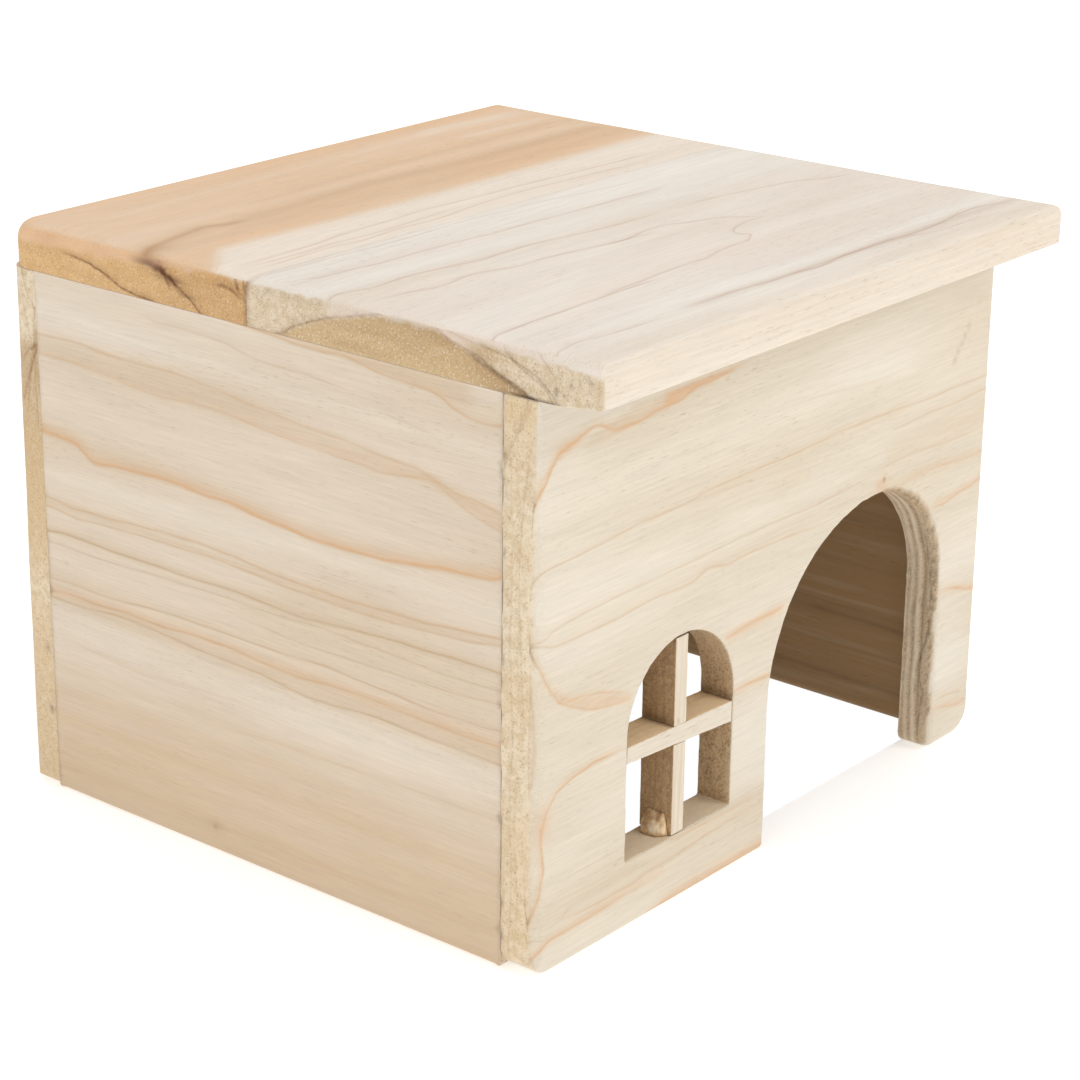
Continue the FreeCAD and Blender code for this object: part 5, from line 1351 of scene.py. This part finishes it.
def lean(z):
    """Slope of the cross slat: its underside falls more than its top."""
    return 0.070 - 0.033 * np.clip((z - 32.7) / 3.9, 0, 1)


slat_z = wood("slat_wood_upright", "Z", SLAT, (7.0, 3.0, 91.0))
slat_x = wood("slat_wood_cross", "X", SLAT, (3.0, 9.0, 17.0))


def slat_r(p):
    return np.full(len(p), 0.22) + 0.08 * wander(p[:, 0] * 3 + p[:, 1], 91, 1.7)


top_l = SPRING + math.sqrt(WR ** 2 - (-33.7 - WX) ** 2) - 0.05
up_outer = path([("P", -60.9, 13.85, 0.3), ("P", -53.1, 13.85, 0.3), ("P", -53.1, top_l, 0.3), ("P", -60.9, top_l, 0.3),
                 ("P", -60.9, 36.60, 0.15), ("P", -57.0, 36.60, 0.15), ("P", -57.0, 32.70, 0.15), ("P", -60.9, 32.70, 0.15)], 0.5)
ug = slab([up_outer], 3.9, slat_r, slat_r, 0.5, 0.5, 7, K=3)


def fuzz(seed):
    def f(g):
        q, w = g["p"], g["w"]
        big = np.abs(g["inn"][:, 2])
        return 0.05 * (1 + wander2(q[:, 0] * 2, q[:, 1], seed, 1.0, 2.6)) * big + 0.03 * (1 + wander(g["s"], seed + 1, 1.3)) * (1 - big)
    return f


def up_after(P):
    """The notch leans with the cross slat."""
    P = P.copy()
    m = (P[:, 2] > 31.6) & (P[:, 2] < 37.7) & (P[:, 1] < -56.85)
    P[:, 2] -= np.where(m, lean(P[:, 2]) * (P[:, 0] + 31.5), 0.0)
    return P


def up_paint(a, g, P, N):
    x, y, z = P.T
    fr = smooth(-N[:, 1], 0.45, 0.8)
    a["cut"] += (1 - fr) * 0.80
    a["rough"] += (1 - fr)
    a["brown"] += (1 - fr) * 0.2
    use(a, 1 - fr, lay_lines(np.stack([y, z], 1), random_lines(95, (-61, -53, 13, 55), 1, 1.7, 0.55, 0.1, wave=0.3), (-61, -53, 13, 55)))
    use(a, fr, lay_lines(np.stack([x, z], 1), random_lines(96, (-34, -29.5, 13, 55), 1, 2.0, 0.22, 0.6, wave=0.2), (-34, -29.5, 13, 55)))
    a["orange"] += 0.45 * fr * smooth(-x, 33.1, 33.6) * (0.6 + 0.4 * wander(z, 97, 6))
    a["dark"] += fr * 0.5 * blob(x, z, -32.3, 37.5, 0.4, 0.3, 1)
    # painted shade on the side faces where the upright meets the arch, the cross slat and the sill
    a["dark"] += (1 - fr) * (0.40 * smooth(z, 53.0, 54.6) + 0.35 * blob(y, z, -57, 37.4, 5, 0.7, 1) + 0.3 * blob(y, z, -57, 14.0, 5, 0.8, 1))


board("window_upright_slat", ug, lambda q, w: np.stack([-33.7 + w, q[:, 0], q[:, 1]], 1), up_paint, slat_z,
      ["window_muntin_vertical"], push=fuzz(92), after=up_after)

cr_outer = path([("P", -48, -60.9, 0.2), ("P", -15, -60.9, 0.2), ("P", -15, -53.1, 0.2), ("P", -29.85, -53.1, 0.15),
                 ("P", -29.85, -57.0, 0.15), ("P", -33.65, -57.0, 0.15), ("P", -33.65, -53.1, 0.15), ("P", -48, -53.1, 0.2)], 0.5)
cg = slab([cr_outer], 3.9, slat_r, slat_r, 0.5, 0.5, 7, K=3)


def cross_after(P):
    P = P.copy()
    P[:, 2] -= lean(P[:, 2]) * (P[:, 0] + 31.5)
    return P


def cross_paint(a, g, P, N):
    x, y, z = P.T
    fr = smooth(-N[:, 1], 0.45, 0.8)
    a["cut"] += (1 - fr) * 0.85
    # painted light: the cross slat's upward faces are made pale
    a["pale"] += smooth(N[:, 2], 0.35, 0.75) * (1.06 + 0.12 * wander2(x * 3, y * 3, 101, 2.2, 2.2))
    a["rough"] += (1 - fr)
    zz = z + 0.0535 * (x + 31.5)
    use(a, 1 - fr, lay_lines(np.stack([x, y], 1), random_lines(98, (-48, -15, -61, -53), 0, 1.6, 0.14, 0.3, wave=0.3), (-48, -15, -61, -53)))
    use(a, fr, lay_lines(np.stack([x, zz], 1), random_lines(99, (-48, -15, 32.4, 36.8), 0, 1.5, 0.16, 0.6, wave=0.2), (-48, -15, 32.4, 36.8)))
    a["tan"] += fr * (0.06 + 0.08 * wander2(x, zz, 100, 12, 1.0))
    a["pale"] += fr * 0.55
    # painted shade on the side faces at both ends, where the slat enters the frame, and beside the upright
    a["dark"] += (1 - fr) * (0.35 * smooth(-x, 47.0, 47.9) + 0.35 * smooth(x, -16.0, -15.1)
                             + 0.35 * np.exp(-((np.abs(x + 31.75) - 2.2) / 0.6) ** 2))


board("window_cross_slat", cg, lambda q, w: np.stack([q[:, 0], q[:, 1], 32.7 + w], 1), cross_paint, slat_x,
      ["window_muntin_horizontal"], push=fuzz(93), after=cross_after)


# ---------------------------------------------------------------- dried glue at the foot of the upright

bm = bmesh.new()
bmesh.ops.create_icosphere(bm, subdivisions=5, radius=1.0)
for v in bm.verts:
    c = v.co
    r = 1.0 + 0.16 * mnoise.noise(Vector((c.x * 1.7 + 4.1, c.y * 1.7, c.z * 1.5 + 2.2))) + 0.09 * mnoise.noise(c * 4.3) + 0.03 * mnoise.noise(c * 11.0)
    x = c.x * r * 2.30
    y = c.y * r * 3.05
    z = c.z * r * 5.6
    z *= 1.0 - 0.20 * math.cos(c.y * 2.2)
    v.co = Vector((-33.7 + x, -57.0 + y, 13.8 + z))
for co, no in ((Vector((-33.74, 0, 0)), Vector((1, 0, 0))), (Vector((0, 0, 13.86)), Vector((0, 0, -1)))):
    res = bmesh.ops.bisect_plane(bm, geom=bm.verts[:] + bm.edges[:] + bm.faces[:], dist=1e-4, plane_co=co, plane_no=no, clear_outer=True)
    cut_edges = [e for e in res["geom_cut"] if isinstance(e, bmesh.types.BMEdge)]
    bmesh.ops.holes_fill(bm, edges=cut_edges, sides=0)
bmesh.ops.triangulate(bm, faces=bm.faces[:])
bmesh.ops.recalc_face_normals(bm, faces=bm.faces)
for v in bm.verts:
    v.co.x = max(v.co.x, -36.1)
    v.co.y = min(max(v.co.y, -60.36), -53.64)
    v.co.z = min(v.co.z, 20.0)
    v.co *= 0.001
for f in bm.faces:
    f.smooth = True
me = bpy.data.meshes.new("window_glue_blob")
bm.to_mesh(me)
bm.free()
glue = bpy.data.objects.new("window_glue_blob", me)
bpy.context.scene.collection.objects.link(glue)

gl = Net("dried_glue")
tc = gl.t.nodes.new("ShaderNodeTexCoord")
gp = gl.vec("MULTIPLY", tc.outputs["Object"], (1000.0, 1000.0, 1000.0))
n1 = gl.noise(gp, scale=0.55, detail=3)
n2 = gl.noise(gp, scale=2.6, detail=2)
gc = gl.mix(gl.step(n1, 0.40, 0.68), lin((198, 165, 124)), lin((236, 210, 172)))
gc = gl.mix(gl.step(n2, 0.60, 0.80, 0.0, 0.16), gc, lin((128, 98, 66)))
# a pale spot on the glue's lower left is a painted highlight
highlight_spot = gl.t.nodes.new("ShaderNodeVectorMath")
highlight_spot.operation = "DISTANCE"
gl.put(highlight_spot.inputs[0], gp)
highlight_spot.inputs[1].default_value = (-35.9, -58.1, 15.4)
gc = gl.mix(gl.step(highlight_spot.outputs["Value"], 1.7, 0.5, 0.0, 0.8), gc, lin((236, 226, 204)))
gl.put(gl.bsdf.inputs["Base Color"], gc)
gl.put(gl.bsdf.inputs["Roughness"], gl.math("MULTIPLY_ADD", n2, 0.4, 0.16))
gl.bsdf.inputs["Subsurface Weight"].default_value = 0.35
gl.bsdf.inputs["Subsurface Radius"].default_value = (1.0, 0.7, 0.4)
gl.bsdf.inputs["Subsurface Scale"].default_value = 0.0012
gl.bsdf.inputs["Coat Weight"].default_value = 0.25
gl.bsdf.inputs["Coat Roughness"].default_value = 0.2
gb = gl.t.nodes.new("ShaderNodeBump")
gb.inputs["Strength"].default_value = 0.2
gb.inputs["Distance"].default_value = 0.0003
gl.put(gb.inputs["Height"], n2)
gl.put(gl.bsdf.inputs["Normal"], gb.outputs[0])
me.materials.append(gl.m)
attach(glue, "root")
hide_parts("window_glue_bead")


# ---------------------------------------------------------------- floor, light, camera

def sheet(name, size, z, mat, centre=(0, 0)):
    m = bpy.data.meshes.new(name)
    sx, sy = size
    cx, cy = centre
    m.from_pydata([(cx - sx, cy - sy, z), (cx + sx, cy - sy, z), (cx + sx, cy + sy, z), (cx - sx, cy + sy, z)], [], [(0, 1, 2, 3)])
    m.materials.append(mat)
    o = bpy.data.objects.new(name, m)
    bpy.context.scene.collection.objects.link(o)
    return o


fm = Net("floor_white")
fm.bsdf.inputs["Base Color"].default_value = (0.90, 0.895, 0.885, 1)
fm.bsdf.inputs["Roughness"].default_value = 0.9
fm.bsdf.inputs["Specular IOR Level"].default_value = 0.1
fm.bsdf.inputs["Emission Color"].default_value = (1, 1, 1, 1)
fm.bsdf.inputs["Emission Strength"].default_value = 0.42
floor = sheet("floor", (6.0, 6.0), -0.0004, fm.m)

cm = Net("floor_card")
cm.bsdf.inputs["Base Color"].default_value = (0, 0, 0, 1)
cm.bsdf.inputs["Specular IOR Level"].default_value = 0.0
cm.bsdf.inputs["Emission Color"].default_value = (1, 1, 1, 1)
cm.bsdf.inputs["Emission Strength"].default_value = 1.0
card = sheet("floor_inside", (0.0681, 0.0595), -0.0002, cm.m, centre=(0.0016, 0.0065))
card.visible_diffuse = False
card.visible_glossy = False
card.visible_transmission = False
card.visible_shadow = False

world = bpy.data.worlds.new("studio")
bpy.context.scene.world = world
world.use_nodes = True
world.node_tree.nodes["Background"].inputs[0].default_value = (1.0, 0.99, 0.975, 1)
world.node_tree.nodes["Background"].inputs[1].default_value = 0.62


def lamp(name, loc, target, size, power, colour=(1, 1, 1)):
    d = bpy.data.lights.new(name, "AREA")
    d.shape = "DISK"
    d.size = size
    d.energy = power
    d.color = colour
    o = bpy.data.objects.new(name, d)
    bpy.context.scene.collection.objects.link(o)
    o.location = loc
    o.rotation_euler = (Vector(target) - Vector(loc)).to_track_quat("-Z", "Y").to_euler()
    return o


lamp("key", (0.35, -1.25, 1.15), (0, 0, 0.05), 1.1, 9.0, (1.0, 0.985, 0.96))
lamp("fill", (-1.4, -0.2, 0.8), (0, 0, 0.05), 1.2, 3.4, (1.0, 0.99, 0.98))
lamp("over", (0.1, 0.3, 1.6), (0, 0, 0.05), 1.4, 5.0)

scene = bpy.context.scene
scene.view_settings.view_transform = "Standard"

az, el, roll = math.radians(-50.688), math.radians(20.3417), math.radians(0.5985)
backv = Vector((math.sin(az) * math.cos(el), -math.cos(az) * math.cos(el), math.sin(el)))
fwd = -backv
right = fwd.cross(Vector((0, 0, 1))).normalized()
upv = right.cross(fwd)
r2 = right * math.cos(roll) + upv * math.sin(roll)
u2 = -right * math.sin(roll) + upv * math.cos(roll)
cam_data = bpy.data.cameras.new("camera")
cam_data.lens = 97.443
cam_data.sensor_width = 36.0
cam_data.sensor_fit = "HORIZONTAL"
cam_data.clip_start = 0.01
cam_data.clip_end = 50
cam = bpy.data.objects.new("camera", cam_data)
scene.collection.objects.link(cam)
M = Matrix((
    (r2.x, u2.x, backv.x, -0.440186),
    (r2.y, u2.y, backv.y, -0.360608),
    (r2.z, u2.z, backv.z, 0.261010),
    (0, 0, 0, 1)))
cam.matrix_world = M
scene.camera = cam

bpy.context.view_layer.update()
